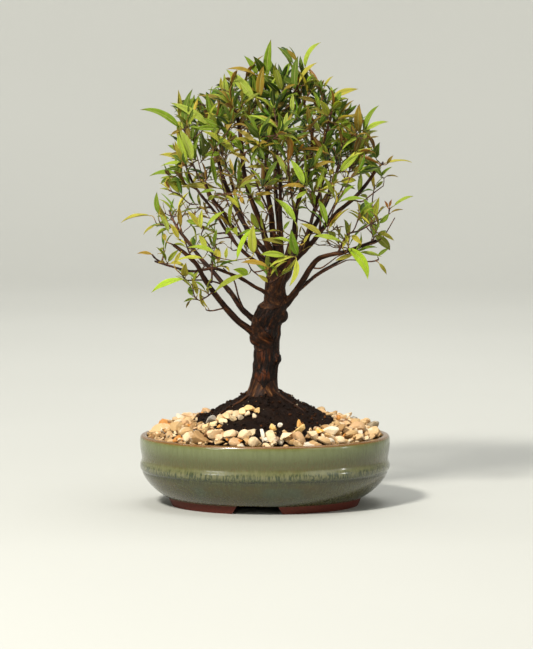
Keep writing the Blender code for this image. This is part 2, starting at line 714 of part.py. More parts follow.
def grow_shoot(name, rings, heading, rng, solids, leaves):
    """One closed solid: the twig, with leaves drawn out of its side faces at the tip."""
    bm = bmesh.new()
    loops = [[bm.verts.new(point) for point in ring] for ring in rings]
    bm.faces.new(loops[0][::-1])
    bm.faces.new(loops[-1])
    first_whorl = len(rings) - 1 - WHORLS
    turn = 0
    for index, (low, high) in enumerate(zip(loops, loops[1:])):
        leafy = []
        if index >= first_whorl:
            leafy = [(turn + 2 * i) % TWIG_SIDES for i in range(LEAVES_ON_A_WHORL)]
            turn += 2 * LEAVES_ON_A_WHORL
        for i in range(TWIG_SIDES):
            j = (i + 1) % TWIG_SIDES
            patch = [low[i], low[j], high[j], high[i]]
            leaf = None
            if i in leafy:
                leaf = find_leaf([vert.co for vert in patch], heading, rng, solids, leaves, name)
            if leaf is None:
                bm.faces.new(patch)
                continue
            widest = [bm.verts.new(point) for point in leaf[0]]
            tip = bm.verts.new(leaf[1])
            for k in range(4):
                m = (k + 1) % 4
                bm.faces.new((patch[k], patch[m], widest[m], widest[k]))
                bm.faces.new((widest[k], widest[m], tip))
    bmesh.ops.recalc_face_normals(bm, faces=bm.faces)
    mesh = bpy.data.meshes.new(name)
    bm.to_mesh(mesh)
    bm.free()
    return add_object(name, mesh, LEAF)


def ring_shell(rings):
    """Search tree of a bare twig."""
    count = len(rings[0])
    verts = [point for ring in rings for point in ring]
    faces = []
    for index in range(len(rings) - 1):
        low = index * count
        high = low + count
        faces += [(low + i, low + (i + 1) % count, high + (i + 1) % count, high + i) for i in range(count)]
    return BVHTree.FromPolygons(verts, faces)


def make_shoots(solids):
    """Every twig first, then the leaves, so that no leaf grows across a later twig."""
    rng = random.Random(LEAF_SEED)
    twigs = [twig_rings(*twig_route(*row[1:])) for row in SHOOTS]
    shells = [ring_shell(rings) for rings, _ in twigs]
    leaves = []
    shoots = []
    for index, (rings, heading) in enumerate(twigs):
        others = solids + shells[:index] + shells[index + 1:]
        name = SHOOTS[index][0]
        shoots.append(grow_shoot(name, rings, heading, rng, others, leaves))
    return shoots


def world_trees(objects):
    """Search tree over each solid's faces."""
    trees = []
    for obj in objects:
        bm = bmesh.new()
        bm.from_mesh(obj.data)
        trees.append(BVHTree.FromBMesh(bm))
        bm.free()
    return trees


clear_scene()
PARTS = new_collection("bonsai_tree_in_pot")
GLAZE = material("pot_glaze", (0.17, 0.19, 0.085), 0.22)
MESH_PLASTIC = material("screen_plastic", (0.02, 0.02, 0.022), 0.6)
SOIL = material("wet_soil", (0.012, 0.007, 0.003), 0.75)
GRAVEL = material("gravel", (0.70, 0.52, 0.31), 0.7)
BARK = material("bark", (0.028, 0.010, 0.004), 0.6)
LEAF = material("leaf", (0.13, 0.24, 0.02), 0.4)

POT = make_pot()
SCREENS = [make_screen(name, x) for x, name in drain_places()]
TREE_TRUNK = make_trunk()
SURFACE_ROOTS = make_limbs(ROOTS, [TREE_TRUNK], BARK, 1)
SOIL_MASS = make_soil(TREE_TRUNK, SURFACE_ROOTS)
GRAVEL_BED = make_gravel(SURFACE_ROOTS)
TREE_BOUGHS = make_limbs(BOUGHS, [TREE_TRUNK], BARK, 2)
HARD = world_trees([POT, TREE_TRUNK, SOIL_MASS, GRAVEL_BED] + SURFACE_ROOTS + TREE_BOUGHS)
TREE_SHOOTS = make_shoots(HARD)
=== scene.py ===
"""Bonsai tree in an oval glazed pot: the finished look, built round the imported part.

Lengths in the tables are millimetres and everything else is metres.  +Z is up, +X is the
pot's long way and the tree is shown from -Y.
"""

import functools
import json
import math
import random

import bmesh
import bpy
import numpy as np
from mathutils import Matrix, Vector, noise
from mathutils.kdtree import KDTree

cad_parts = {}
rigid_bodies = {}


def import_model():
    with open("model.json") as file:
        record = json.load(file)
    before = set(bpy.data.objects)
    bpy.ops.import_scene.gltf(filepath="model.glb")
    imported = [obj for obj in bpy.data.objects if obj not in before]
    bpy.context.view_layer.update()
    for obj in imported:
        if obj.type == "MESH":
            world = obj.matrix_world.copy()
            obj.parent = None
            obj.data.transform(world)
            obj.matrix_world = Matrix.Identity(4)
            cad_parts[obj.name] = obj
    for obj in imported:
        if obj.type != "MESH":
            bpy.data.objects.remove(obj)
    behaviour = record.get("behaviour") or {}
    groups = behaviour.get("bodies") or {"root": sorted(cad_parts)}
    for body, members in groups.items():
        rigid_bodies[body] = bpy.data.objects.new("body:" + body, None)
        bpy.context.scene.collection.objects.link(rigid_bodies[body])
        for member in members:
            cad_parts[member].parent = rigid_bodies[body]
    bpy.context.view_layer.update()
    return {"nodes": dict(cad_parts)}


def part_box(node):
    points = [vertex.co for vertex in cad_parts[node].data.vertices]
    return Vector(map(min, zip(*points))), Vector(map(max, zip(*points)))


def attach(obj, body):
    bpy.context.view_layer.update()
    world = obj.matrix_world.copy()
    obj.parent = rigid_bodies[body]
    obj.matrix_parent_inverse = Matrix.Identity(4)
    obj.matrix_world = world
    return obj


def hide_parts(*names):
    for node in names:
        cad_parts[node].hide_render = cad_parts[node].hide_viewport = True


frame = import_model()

bl_info = {
    "name": "Bonsai Tree in a Pot",
    "version": (1, 0, 0),
    "blender": (4, 5, 0),
    "location": "3D View > Sidebar > Bonsai",
    "description": "Builds a leafy bonsai tree with its soil, gravel and glazed pot",
    "category": "Add Mesh",
}

MM = 0.001
BODY = "root"

# Pot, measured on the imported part
POT_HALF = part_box("pot")[1].x
POT_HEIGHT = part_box("pot")[1].z
DEPTH_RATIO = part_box("pot")[1].y / POT_HALF
ROOT_CROWN = POT_HEIGHT + 32.0 * MM
MEASURED_CROWN = 88.0 * MM  # height of the root crown in the tables below
RIM_WALL = 6.0 * MM
SOIL_DROP = 8.0 * MM
GRAVEL_INNER = 58.0 * MM  # half-width of the bare mound
GRAVEL_THICKNESS = 5.0 * MM
FOOT_HEIGHT = 6.5 * MM
POT_STEPS = 192
BARK_VOXEL = 0.72 * MM
LEAF_THICKNESS = 0.25 * MM

# Where the tree is looked at from, and what it is looked at with
EYE = Vector((0.0, -2660.0, 390.0)) * MM
AIM = Vector((1.2, 0.0, 144.0)) * MM
LENS = 185.6

# Trunk: middle of each section (x, y, z) and its radius, in millimetres
TRUNK = [
    (-1.2, 0.0, 66.0, 17.0),
    (-1.2, 0.0, 79.0, 16.5),
    (-1.1, 0.0, 88.0, 14.4),
    (-1.0, 0.0, 93.5, 11.9),
    (-0.2, 0.0, 101.0, 10.4),
    (0.2, 0.5, 109.0, 10.0),
    (1.4, 1.0, 117.0, 10.5),
    (1.4, 1.5, 124.0, 10.1),
    (1.0, 1.5, 130.0, 10.8),
    (0.5, 1.0, 137.0, 12.2),
    (1.5, 0.5, 146.0, 12.2),
    (4.5, 0.0, 153.0, 11.6),
    (8.1, -0.5, 159.5, 9.8),
    (8.1, -0.5, 167.0, 9.0),
    (8.1, 0.0, 174.0, 8.4),
    (9.0, 0.0, 180.0, 8.6),
    (11.5, 0.0, 186.0, 10.0),
    (12.7, 0.0, 192.0, 10.6),
    (13.0, 0.0, 197.0, 7.5),
]

# Burls on the trunk: middle and radius, in millimetres
BURLS = [(7.5, -2.5, 117.0, 5.6), (-6.5, -3.0, 133.0, 6.2), (12.0, -1.0, 151.5, 6.6), (2.0, -7.0, 139.0, 7.0)]

# Surface roots: name, radius at the start and the end, route
ROOTS = [
    ("root_left", 1.6, 0.9, [(-11, -7, 92), (-18, -10, 92), (-28, -13, 87), (-37, -17, 80), (-44, -19, 70)]),
    ("root_right", 1.5, 0.9, [(10, -8, 91), (18, -11, 91), (27, -15, 85), (36, -19, 78), (42, -21, 69)]),
]

# Boughs: name, radius at the start and the end, route from inside what they grow out of
BOUGHS = [
    ("bough_left_low_front", 4.0, 1.5, [
        (-2, -1, 131), (-11, -3, 139), (-23, -7, 149), (-34, -12, 162), (-42.5, -17, 173.5),
        (-49, -22, 184), (-54, -26, 194), (-63, -30, 203), (-72, -33, 210)]),
    ("bough_left_low_back", 3.2, 1.4, [
        (-1, 3, 140), (-10, 7, 148), (-19, 12, 156), (-26, 18, 166), (-34, 25, 175),
        (-43, 33, 185), (-52, 41, 194), (-61, 48, 205), (-70, 53, 216)]),
    ("bough_left_mid", 2.0, 1.0, [
        (6, -3, 164), (-1, -7, 171), (-8, -11, 175), (-18.6, -16, 182), (-30, -20, 187),
        (-41, -21, 190.5), (-58, -18, 188), (-75, -10, 191.5), (-88, -4, 195)]),
    ("bough_left_upper_outer", 2.0, 1.1, [
        (9, 1, 180), (0, 0, 188), (-7, 1, 194), (-15, 3, 200), (-23, 6, 208),
        (-32, 10, 220), (-41, 15, 234), (-51, 20, 246), (-58, 24, 256), (-63, 26, 268)]),
    ("bough_left_upper_mid", 2.2, 1.2, [
        (9, -3, 185), (2, -8, 195), (-7, -12, 203), (-18, -17, 213), (-26, -22, 224),
        (-34, -27, 237), (-41, -31, 246), (-47, -34, 258)]),
    ("bough_left_upper_inner", 3.0, 1.4, [
        (9, 3, 188), (2, 6, 200), (-6, 9, 209), (-13, 12, 218), (-21, 18, 231),
        (-27.5, 24, 245), (-33, 28, 258), (-38, 32, 275), (-42, 36, 295)]),
    ("leader_left", 3.6, 1.5, [
        (10, -2, 190), (4, -5, 204), (0, -8, 214), (-2.4, -11, 224), (-7, -14, 235),
        (-13, -17, 251), (-17, -18, 270), (-19, -18, 292), (-22, -16, 312)]),
    ("leader_centre", 4.0, 1.4, [
        (12, 3, 192), (9, 5, 205), (6, 6, 218), (5, 7, 232), (2, 7, 250),
        (1, 8, 270), (2, 8, 295), (2, 7, 322)]),
    ("leader_front", 2.6, 1.3, [
        (13, -4, 190), (13, -10, 204), (12.5, -17, 220), (12, -24, 238), (12, -30, 256), (10, -36, 275)]),
    ("leader_right", 3.2, 1.3, [
        (15, 1, 190), (19, 2, 203), (23, 1, 217), (25, -1, 236), (30, -3, 254),
        (36, -5, 275), (37, -7, 297), (31, -9, 320)]),
    ("bough_right_upper", 3.2, 1.4, [
        (16, 0, 186), (25, -1, 197), (33, -2, 205), (40, -5, 213), (46.5, -8, 222),
        (57, -11, 234), (70, -10, 245), (80, -7, 256), (88, -3, 267)]),
    ("bough_right_low", 4.4, 1.4, [
        (8, 0, 154), (16, -1, 160), (21, -2, 166), (26, -4, 173), (31.5, -6, 182), (36.5, -8, 190.5),
        (42, -11, 197), (50, -15, 200.5), (65, -19, 204), (77.5, -18, 208.5), (88.5, -14, 212)]),
    ("bough_right_thin", 1.5, 1.0, [
        (26, -3, 172), (34, 3, 178), (42, 8, 184), (52, 14, 189.5), (65, 20, 196), (78, 22, 203)]),
    ("bough_right_mid", 2.0, 1.2, [
        (31, 0, 203), (35, 6, 216), (38, 12, 230), (43, 17, 246), (48, 21, 264), (51, 24, 285)]),
    ("bough_back_left", 3.0, 1.4, [
        (9, 4, 172), (3, 12, 184), (-6, 24, 200), (-15, 36, 218), (-22, 48, 238), (-28, 58, 258)]),
    ("bough_back_right", 3.0, 1.4, [
        (12, 4, 176), (20, 14, 190), (30, 26, 206), (42, 38, 224), (52, 50, 244), (58, 58, 262)]),
    ("bough_back_centre", 3.0, 1.4, [
        (12, 5, 184), (12, 14, 200), (11, 26, 220), (9, 38, 242), (8, 48, 264), (8, 55, 285)]),
    ("bough_front_low", 2.4, 1.2, [
        (9, -4, 170), (13, -13, 182), (18, -22, 192), (22, -31, 204), (25, -38, 218)]),
]

# Leafy shoots: name, the bough that it grows on, how far along that bough (1 is its end),
# and where the whorl of leaves stands
SHOOTS = [
    ("shoot_left_low_tip", "bough_left_low_front", 1.0, (-80, -35, 226)),
    ("shoot_left_low_star", "bough_left_low_front", 0.74, (-50, -36, 219)),
    ("shoot_left_hanging", "bough_left_low_front", 0.42, (-54, -24, 166)),
    ("shoot_left_low_back_tip", "bough_left_low_back", 1.0, (-78, 58, 232)),
    ("shoot_left_low_back_side", "bough_left_low_back", 0.62, (-50, 56, 188)),
    ("shoot_left_mid_tip", "bough_left_mid", 1.0, (-94, -2, 199)),
    ("shoot_left_mid_side", "bough_left_mid", 0.66, (-66, -26, 181)),
    ("shoot_left_mid_upper", "bough_left_mid", 0.42, (-38, -30, 199)),
    ("shoot_left_upper_tip", "bough_left_upper_outer", 1.0, (-66, 22, 296)),
    ("shoot_left_upper_side", "bough_left_upper_outer", 0.62, (-60, 8, 240)),
    ("shoot_left_front_tip", "bough_left_upper_mid", 1.0, (-57, -38, 272)),
    ("shoot_left_inner_tip", "bough_left_upper_inner", 1.0, (-46, 36, 308)),
    ("shoot_leader_left_tip", "leader_left", 1.0, (-25, -18, 322)),
    ("shoot_leader_left_front", "leader_left", 0.66, (-22, -40, 284)),
    ("shoot_leader_centre_tip", "leader_centre", 1.0, (3, 6, 338)),
    ("shoot_leader_centre_side", "leader_centre", 0.78, (-5, -14, 322)),
    ("shoot_leader_front_tip", "leader_front", 1.0, (7, -50, 290)),
    ("shoot_leader_front_side", "leader_front", 0.6, (22, -50, 262)),
    ("shoot_leader_right_tip", "leader_right", 1.0, (25, -11, 334)),
    ("shoot_leader_right_side", "leader_right", 0.76, (46, -18, 318)),
    ("shoot_right_upper_tip", "bough_right_upper", 1.0, (93, -2, 273)),
    ("shoot_right_upper_side", "bough_right_upper", 0.66, (56, -32, 262)),
    ("shoot_right_upper_top", "bough_right_upper", 0.84, (76, 8, 294)),
    ("shoot_right_low_tip", "bough_right_low", 1.0, (96, -10, 236)),
    ("shoot_right_low_side", "bough_right_low", 0.6, (64, -36, 206)),
    ("shoot_right_low_up", "bough_right_low", 0.78, (84, -38, 224)),
    ("shoot_right_thin_tip", "bough_right_thin", 1.0, (92, 20, 212)),
    ("shoot_right_mid_tip", "bough_right_mid", 1.0, (56, 24, 306)),
    ("shoot_back_left_tip", "bough_back_left", 1.0, (-32, 64, 270)),
    ("shoot_back_right_tip", "bough_back_right", 1.0, (61, 63, 276)),
    ("shoot_back_centre_tip", "bough_back_centre", 1.0, (8, 58, 300)),
    ("shoot_front_low_tip", "bough_front_low", 1.0, (25, -46, 230)),
    ("shoot_front_low_side", "bough_front_low", 0.6, (-6, -48, 200)),
]

# Thin twigs without leaves of their own: radius at the start and the end, route
FREE_TWIGS = [
    (0.9, 0.5, [(-54, -26, 194), (-62, -31, 206), (-70, -34, 222), (-72, -36, 236)]),
    (0.8, 0.4, [(-58, -28, 199), (-63, -30, 213), (-68, -31, 230), (-67, -32, 240)]),
    (0.8, 0.4, [(-42, -24, 180), (-42, -24, 203), (-46, -28, 212), (-50, -33, 217)]),
    (1.0, 0.5, [(-16, 10, 153), (-21, 6, 165), (-25, -2, 180), (-33, -12, 190)]),
    (0.8, 0.5, [(-31, -12, 158), (-39, -17, 171), (-46, -21, 168), (-51, -24, 165)]),
    (1.0, 0.5, [(-24, 16, 163), (-34, 8, 175), (-48, -8, 180), (-64, -22, 181)]),
    (0.9, 0.5, [(28, -4, 172), (40, -2, 182), (52, 2, 189), (65, 6, 195)]),
    (0.8, 0.4, [(37, -8, 190), (44, -12, 190), (50, -16, 194), (56, -20, 199)]),
    (1.0, 0.4, [(58, -17, 203), (65, -22, 217), (75, -26, 221), (90, -20, 229), (97, -12, 230)]),
    (0.8, 0.4, [(78, -18, 208), (88, -18, 211), (95, -14, 217), (103, -10, 230)]),
    (0.8, 0.4, [(70, -10, 244), (77, -12, 243), (84, -10, 248), (94, -4, 255)]),
    (1.1, 0.5, [(43, -7, 217), (45, -8, 233), (48, -10, 242), (50, -14, 250), (52, -18, 262)]),
    (1.1, 0.5, [(27, -2, 200), (35, -8, 223), (40, -14, 235), (44, -18, 245), (43, -22, 255)]),
    (0.9, 0.4, [(-26, -22, 222), (-38, -20, 238), (-50, -16, 258), (-60, -10, 280)]),
    (0.9, 0.4, [(-22, 6, 207), (-36, 10, 232), (-48, 12, 256), (-55, 14, 280)]),
    (0.9, 0.4, [(-14, -14, 208), (-24, -20, 230), (-32, -24, 250), (-36, -28, 272)]),
    (1.0, 0.5, [(4, 5, 232), (-6, 2, 255), (-12, 0, 280), (-14, -4, 304)]),
    (1.0, 0.5, [(24, -1, 230), (20, -8, 255), (18, -16, 280), (19, -24, 300)]),
    (1.0, 0.5, [(36, -5, 270), (46, -10, 288), (50, -14, 305), (54, -16, 318)]),
    (0.9, 0.5, [(46, -8, 222), (58, -2, 246), (68, 4, 268), (74, 8, 288)]),
    (0.9, 0.5, [(3, 7, 250), (12, 4, 275), (16, 0, 300), (20, -4, 325)]),
    (0.8, 0.4, [(-32, 10, 220), (-50, 6, 236), (-60, 2, 250), (-72, -4, 262)]),
]

# Leaves that give the crown its outline, as they line up from the front: x and z of the base and the
# tip on the plane through the trunk, width seen, finish, depth of the base, and how far the leaf arches
LEAVES = {
    "shoot_leader_centre_tip": [
        (2, 341, 5, 371, 7.5, "green", -5), (-1, 343, -9, 357, 8, "dark", -2),
        (-6, 343, -16.5, 358, 5.5, "green", -8), (-7, 342, -30, 348, 3.2, "rust", -12),
        (9, 341, 4, 329, 2, "lime", -16), (-18, 334, -20, 343, 2.5, "dark", -4),
        (-16, 336, -13, 344, 2.5, "dark", 2)],
    "shoot_leader_centre_side": [
        (-9, 323, -31, 347, 9.5, "lime_light", -22), (-4, 325, -1, 350, 8, "rust", -18),
        (-6, 322, -9, 343, 5, "green", -12), (-9, 321, -26, 330, 4.5, "dark", -14),
        (-7, 324, -3, 314, 3.5, "straw", -24)],
    "shoot_leader_left_tip": [
        (-29, 322, -32, 344, 5.5, "lime_light", -16), (-33, 330, -35, 341, 4, "straw", -12),
        (-25, 322, -27, 340, 4.5, "dark", -12), (-24, 319, -45, 332, 3.8, "dark", -20),
        (-30, 319, -53, 327, 3.2, "brown", -10), (-25, 307, -24, 327, 4, "rust", -26),
        (-29, 303, -39, 315, 6, "olive", -8), (-29, 315, -38, 322, 2.5, "brown", -20),
        (-28, 303, -40, 308, 3, "lime", -22)],
    "shoot_left_inner_tip": [
        (-43, 311, -46, 329, 5, "green", -14), (-45, 306, -37, 321, 2.2, "olive", -20),
        (-45, 303, -75, 321, 7, "lime_light", -12), (-42, 302, -54, 306, 7, "green", -16),
        (-43, 304, -44, 313, 2.5, "green", -8)],
    "shoot_left_upper_tip": [
        (-66, 305, -68, 331, 6, "straw", -8), (-64, 302, -58, 332, 6.5, "dark", -12),
        (-59, 315, -56, 326, 3, "green", -4), (-68, 301, -99, 316, 6.5, "green", -10, 0.1),
        (-67, 299, -75, 295, 3, "rust", -16)],
    "shoot_left_front_tip": [
        (-58, 275, -68, 300, 9, "lime_light", -20), (-62, 274, -69, 297, 7, "lime", -24),
        (-55, 275, -52, 297, 4.5, "green", -10), (-58, 291, -56, 304, 4, "dark", -12),
        (-60, 273, -84, 280, 6, "straw", -18), (-61, 272, -83, 271, 2.6, "lime", -24),
        (-68, 266, -77, 271, 4, "olive", -20), (-70, 264, -92, 263, 4, "green", -14),
        (-68, 281, -76, 279, 2, "brown", -20), (-65, 277, -68, 284, 4, "green", -16),
        (-40, 253, -66, 254, 6, "olive_brown", -24), (-43, 278, -38, 255, 4.5, "green", -30),
        (-36, 280, -48, 279, 5, "green", -26)],
    "shoot_leader_left_front": [
        (-24, 281, -50, 299, 6.5, "olive_light", -38), (-18, 283, -37, 303, 8, "green", -34),
        (-8, 288, -24, 300, 4.5, "peach", -40), (3, 283, -25, 293, 5, "gold", -38),
        (-13, 273, -30, 282, 3.5, "peach", -36), (-25, 267, -28, 277, 3, "peach", -40),
        (-2, 269, -14, 270, 3, "gold", -36), (-4, 256, -7, 262, 3.5, "peach", -34)],
    "shoot_leader_front_tip": [
        (10, 300, -15, 311, 2.4, "lime", -44), (8, 303, -6, 311, 2.4, "peach", -40),
        (22, 314, 22.5, 328, 4.5, "lime_pale", -44), (17, 297, 18, 314, 4.5, "lime_pale", -46),
        (14, 299, 12, 309, 4, "lime", -40), (3, 294, 6, 306, 4, "olive", -42),
        (-2, 290, -1, 306, 3, "lime", -38), (16, 292, 8, 298, 7, "lime", -48),
        (24, 308, 28, 318, 3, "green", -30)],
    "shoot_leader_right_tip": [
        (24, 332, 26, 358, 7, "dark", -16), (22, 352, 10, 365, 4.5, "dark", -12),
        (25, 354, 17, 363, 4, "rust", -14), (31, 343, 28, 358, 4.5, "dark", -8),
        (32, 349, 44, 369, 4.5, "lime", -10, 0.12), (27, 336, 41, 353, 3.5, "straw", -16),
        (24, 331, 18, 341, 4.5, "dark", -6), (25, 331, 3, 344, 5.5, "dark", -10)],
    "shoot_leader_right_side": [
        (50, 311, 43, 323, 6.5, "olive_light", -30), (43, 316, 38, 330, 4, "green", -26),
        (43, 298, 40, 308, 4.5, "lime_pale", -30), (40, 311, 30, 319, 5, "olive_brown", -22),
        (48, 311, 36, 318, 4, "olive_brown", -24), (40, 321, 26, 325, 4, "brown", -20),
        (45, 326, 40, 341, 4, "brown", -14), (45, 334, 47, 339, 2, "rust", -12),
        (47, 333, 54, 342, 2.4, "straw", -12), (41, 333, 34, 339, 3, "dark", -8),
        (50, 322, 58, 333, 3, "dark", -10), (52, 323, 74, 332, 5.5, "straw", -14)],
    "shoot_right_upper_top": [
        (75, 297, 75, 320, 8, "rust", -6), (79, 300, 90, 319, 5, "green", -4),
        (80, 299, 98, 306, 4.5, "lime", -8), (73, 296, 55, 319, 6, "green", -4, -0.1),
        (60, 301, 69, 305, 4, "olive", -14), (68, 292, 60, 297, 5, "green", -12),
        (61, 283, 79, 296, 2.6, "lime", -16), (80, 286, 84, 299, 4.5, "olive_dark", -2),
        (56, 305, 65, 307, 4, "olive", -18), (76, 292, 84, 282, 3, "brown", -8)],
    "shoot_right_upper_tip": [
        (88, 277, 91, 289, 7, "dark", -6), (97, 272, 102, 279, 3, "rust", -4),
        (97, 273, 117, 274, 2, "straw", 0), (93, 262, 76, 279, 6, "dark", -10),
        (96, 262, 106, 262, 1.5, "brown", -4), (92, 262, 101, 270, 3, "green", -6)],
    "shoot_right_upper_side": [
        (54, 268, 55, 279, 4, "green", -34), (51, 263, 55, 268, 4.5, "gold", -38),
        (55, 257, 57, 265, 5, "green", -30), (60, 258, 73, 259, 6, "yellow", -28),
        (60, 256, 72, 252, 4, "dark", -22), (50, 265, 38, 272, 4, "lime", -36),
        (50, 264, 40, 268, 3, "dark", -28), (50, 281, 36, 291, 6.5, "olive", -34),
        (48, 281, 25, 283, 3, "orange", -38), (60, 266, 75, 280, 7, "lime", -26),
        (64, 273, 86, 285, 3.5, "lime_yellow", -22), (68, 261, 88, 272, 3.8, "lime", -20)],
    "shoot_leader_front_side": [
        (31, 256, 20, 276, 7, "lime_green", -46), (17, 265, 8, 280, 5.5, "lime_pale", -44),
        (33, 256, 32, 283, 2, "lime", -42), (4, 270, 1, 275, 4, "green", -44),
        (31, 254, 13, 254, 4, "orange", -46), (33, 250, 24, 244, 4, "lime", -48),
        (30, 266, 48, 276, 2, "lime", -40)],
    "shoot_front_low_tip": [
        (24, 226, 8, 245, 6, "lime_green", -46), (15, 220, 20, 227, 3, "green", -42),
        (26, 200, 21, 220, 8, "leaf_green", -50), (20, 200, 20, 208, 3.5, "olive_dark", -48),
        (16, 199, -4, 200, 6, "lime", -50), (20, 210, 6, 213, 3, "lime", -48),
        (15, 208, -3, 212, 4.5, "olive_brown", -46), (13, 218, 1, 218, 2, "straw", -40),
        (22, 198, 3, 190, 3.2, "lime_yellow", -50), (25, 196, 19, 175, 5.5, "lime_yellow", -52, -0.14),
        (31, 209, 36, 217, 2.6, "gold", -46), (45, 215, 28, 225, 5, "tan", -44)],
    "shoot_right_low_side": [
        (61, 210, 38, 215, 4, "lime", -46), (55, 213, 50, 219, 6, "olive_dark", -30),
        (66, 205, 82, 180, 9, "lime_bright", -30, 0.14), (69, 199, 56, 195, 4, "straw", -34),
        (69, 215, 77, 208, 5, "gold", -30), (66, 210, 63, 217, 3, "yellow", -34),
        (62, 206, 66, 213, 3, "yellow", -32)],
    "shoot_right_low_up": [
        (86, 229, 78, 245, 6, "leaf_green", -24), (88, 229, 91, 246, 5, "olive_light", -26),
        (88, 215, 100, 203, 8, "olive_dark", -20), (91, 218, 103, 211, 4, "straw", -18)],
    "shoot_right_low_tip": [
        (103, 239, 118, 247, 3, "lime", -8), (100, 233, 110, 236, 1.5, "brown", -10),
        (99, 238, 101, 244, 2.4, "red", -10), (98, 237, 95, 243, 2.4, "red", -12)],
    "shoot_right_thin_tip": [
        (90, 199, 99, 205, 3.5, "green", 10), (91, 193, 97, 184, 3.5, "straw", 6)],
    "shoot_left_low_tip": [
        (-85, 233, -86, 250, 5, "green", -34), (-77, 218, -84, 233, 4, "lime_pale", -42),
        (-92, 231, -115, 226, 2, "straw", -20), (-88, 223, -97, 216, 2.5, "straw", -30),
        (-67, 222, -68, 240, 4.5, "rust", -44), (-69, 213, -76, 225, 5, "gold", -40),
        (-79, 211, -80, 217, 4, "rust_light", -38)],
    "shoot_left_low_star": [
        (-52, 222, -62, 235, 5, "gold", -46), (-51, 221, -50, 236, 4.5, "lime_yellow", -48),
        (-54, 224, -63, 227, 4.5, "green", -44), (-47, 221, -32, 235, 3.5, "lime", -44),
        (-45, 221, -37, 225, 2, "brown", -40), (-47, 204, -53, 216, 5.5, "olive_light", -46)],
    "shoot_left_mid_upper": [
        (-40, 201, -62, 206, 4, "lime", -50), (-37, 194, -37, 206, 7, "gold", -48),
        (-31, 197, -30, 206, 3.5, "lime_yellow", -46), (-22, 197, -11, 221, 4.5, "lime_bright", -50),
        (-9, 201, -9, 224, 8.5, "pale_olive", -52), (-50, 197, -72, 195, 3, "lime_yellow", -46),
        (-72, 193, -66, 203, 3.5, "gold", -40), (-19, 246, -16, 240, 4, "orange", -44),
        (-40, 251, -52, 249, 3, "green", -40), (-40, 247, -45, 243, 4, "olive", -42)],
    "shoot_left_mid_side": [
        (-66, 180, -91, 170, 5.5, "lime_bright", -40, 0.06), (-63, 183, -63, 193, 7, "gold", -34)],
    "shoot_left_hanging": [
        (-54, 168, -59, 182, 4.5, "straw", -26), (-58, 167, -60, 175, 5, "green", -24),
        (-57, 165, -65, 162, 2.5, "lime", -26), (-60, 163, -63, 157, 2, "brown", -24),
        (-51, 168, -51, 173, 2, "lime", -22)],
    "shoot_front_low_side": [
        (2, 190, -19, 194, 4.5, "orange", -52), (-14, 184, -25, 188, 7, "lime_bright", -48),
        (-14, 184, -41, 170, 4.5, "olive", -46), (2, 178, -6, 184, 4, "gold", -46),
        (-4, 248, -5, 240, 4.5, "lime_pale", -44)],
    "shoot_left_mid_tip": [(-90, 200, -102, 201, 3, "orange", -20)],
}

# Leaf finishes: how the upper face looks in plain daylight, as red, green and blue out of 255
LEAF_COLOURS = {
    "dark": (46, 78, 6),
    "green": (92, 128, 10),
    "leaf_green": (84, 132, 10),
    "olive": (130, 142, 30),
    "olive_light": (154, 156, 44),
    "olive_dark": (100, 108, 20),
    "olive_brown": (130, 112, 36),
    "pale_olive": (188, 192, 74),
    "lime": (150, 176, 48),
    "lime_green": (156, 194, 62),
    "lime_bright": (168, 210, 30),
    "lime_light": (164, 184, 84),
    "lime_pale": (160, 176, 84),
    "lime_yellow": (200, 200, 78),
    "yellow": (200, 188, 44),
    "gold": (182, 160, 54),
    "tan": (164, 146, 62),
    "straw": (176, 158, 60),
    "peach": (196, 156, 92),
    "orange": (176, 118, 42),
    "rust": (134, 90, 16),
    "rust_light": (166, 134, 50),
    "brown": (104, 70, 20),
    "red": (150, 52, 34),
}

# What the leaves inside the crown are like, high up and low down
CROWN_MIX = (
    ["green"] * 5 + ["dark"] * 9 + ["olive", "olive_dark"] * 2 + ["rust"] * 3 + ["brown"] * 2
    + ["gold", "lime"]
)
SKIRT_MIX = ["green"] * 3 + ["olive"] * 3 + ["gold"] * 2 + ["rust", "lime", "lime_yellow", "olive_light"]

# Outline of the crown from the front: height, left and right
CROWN_OUTLINE = [
    (150, -20, 10), (160, -60, 20), (180, -80, 70), (200, -92, 95), (225, -94, 102), (245, -88, 104),
    (275, -82, 100), (300, -76, 90), (315, -84, 84), (330, -60, 66), (342, -34, 44), (355, -14, 34),
    (366, 0, 24),
]

# Colours of single stones, as red, green and blue out of 255, the common ones repeated
STONES = (
    [(204, 170, 122)] * 5 + [(186, 152, 102)] * 5 + [(196, 158, 114)] * 4 + [(220, 194, 154)] * 4
    + [(164, 128, 82)] * 4 + [(138, 120, 92), (110, 100, 86), (214, 202, 180), (192, 126, 52), (132, 94, 56)]
)


# ---------------------------------------------------------------- colours and materials


def daylight(red, green, blue):
    """The linear colour of a display colour given as numbers out of 255."""
    levels = [level / 255.0 for level in (red, green, blue)]
    return tuple(v / 12.92 if v <= 0.04045 else ((v + 0.055) / 1.055) ** 2.4 for v in levels)


def opaque(colour):
    return (*daylight(*colour), 1.0)


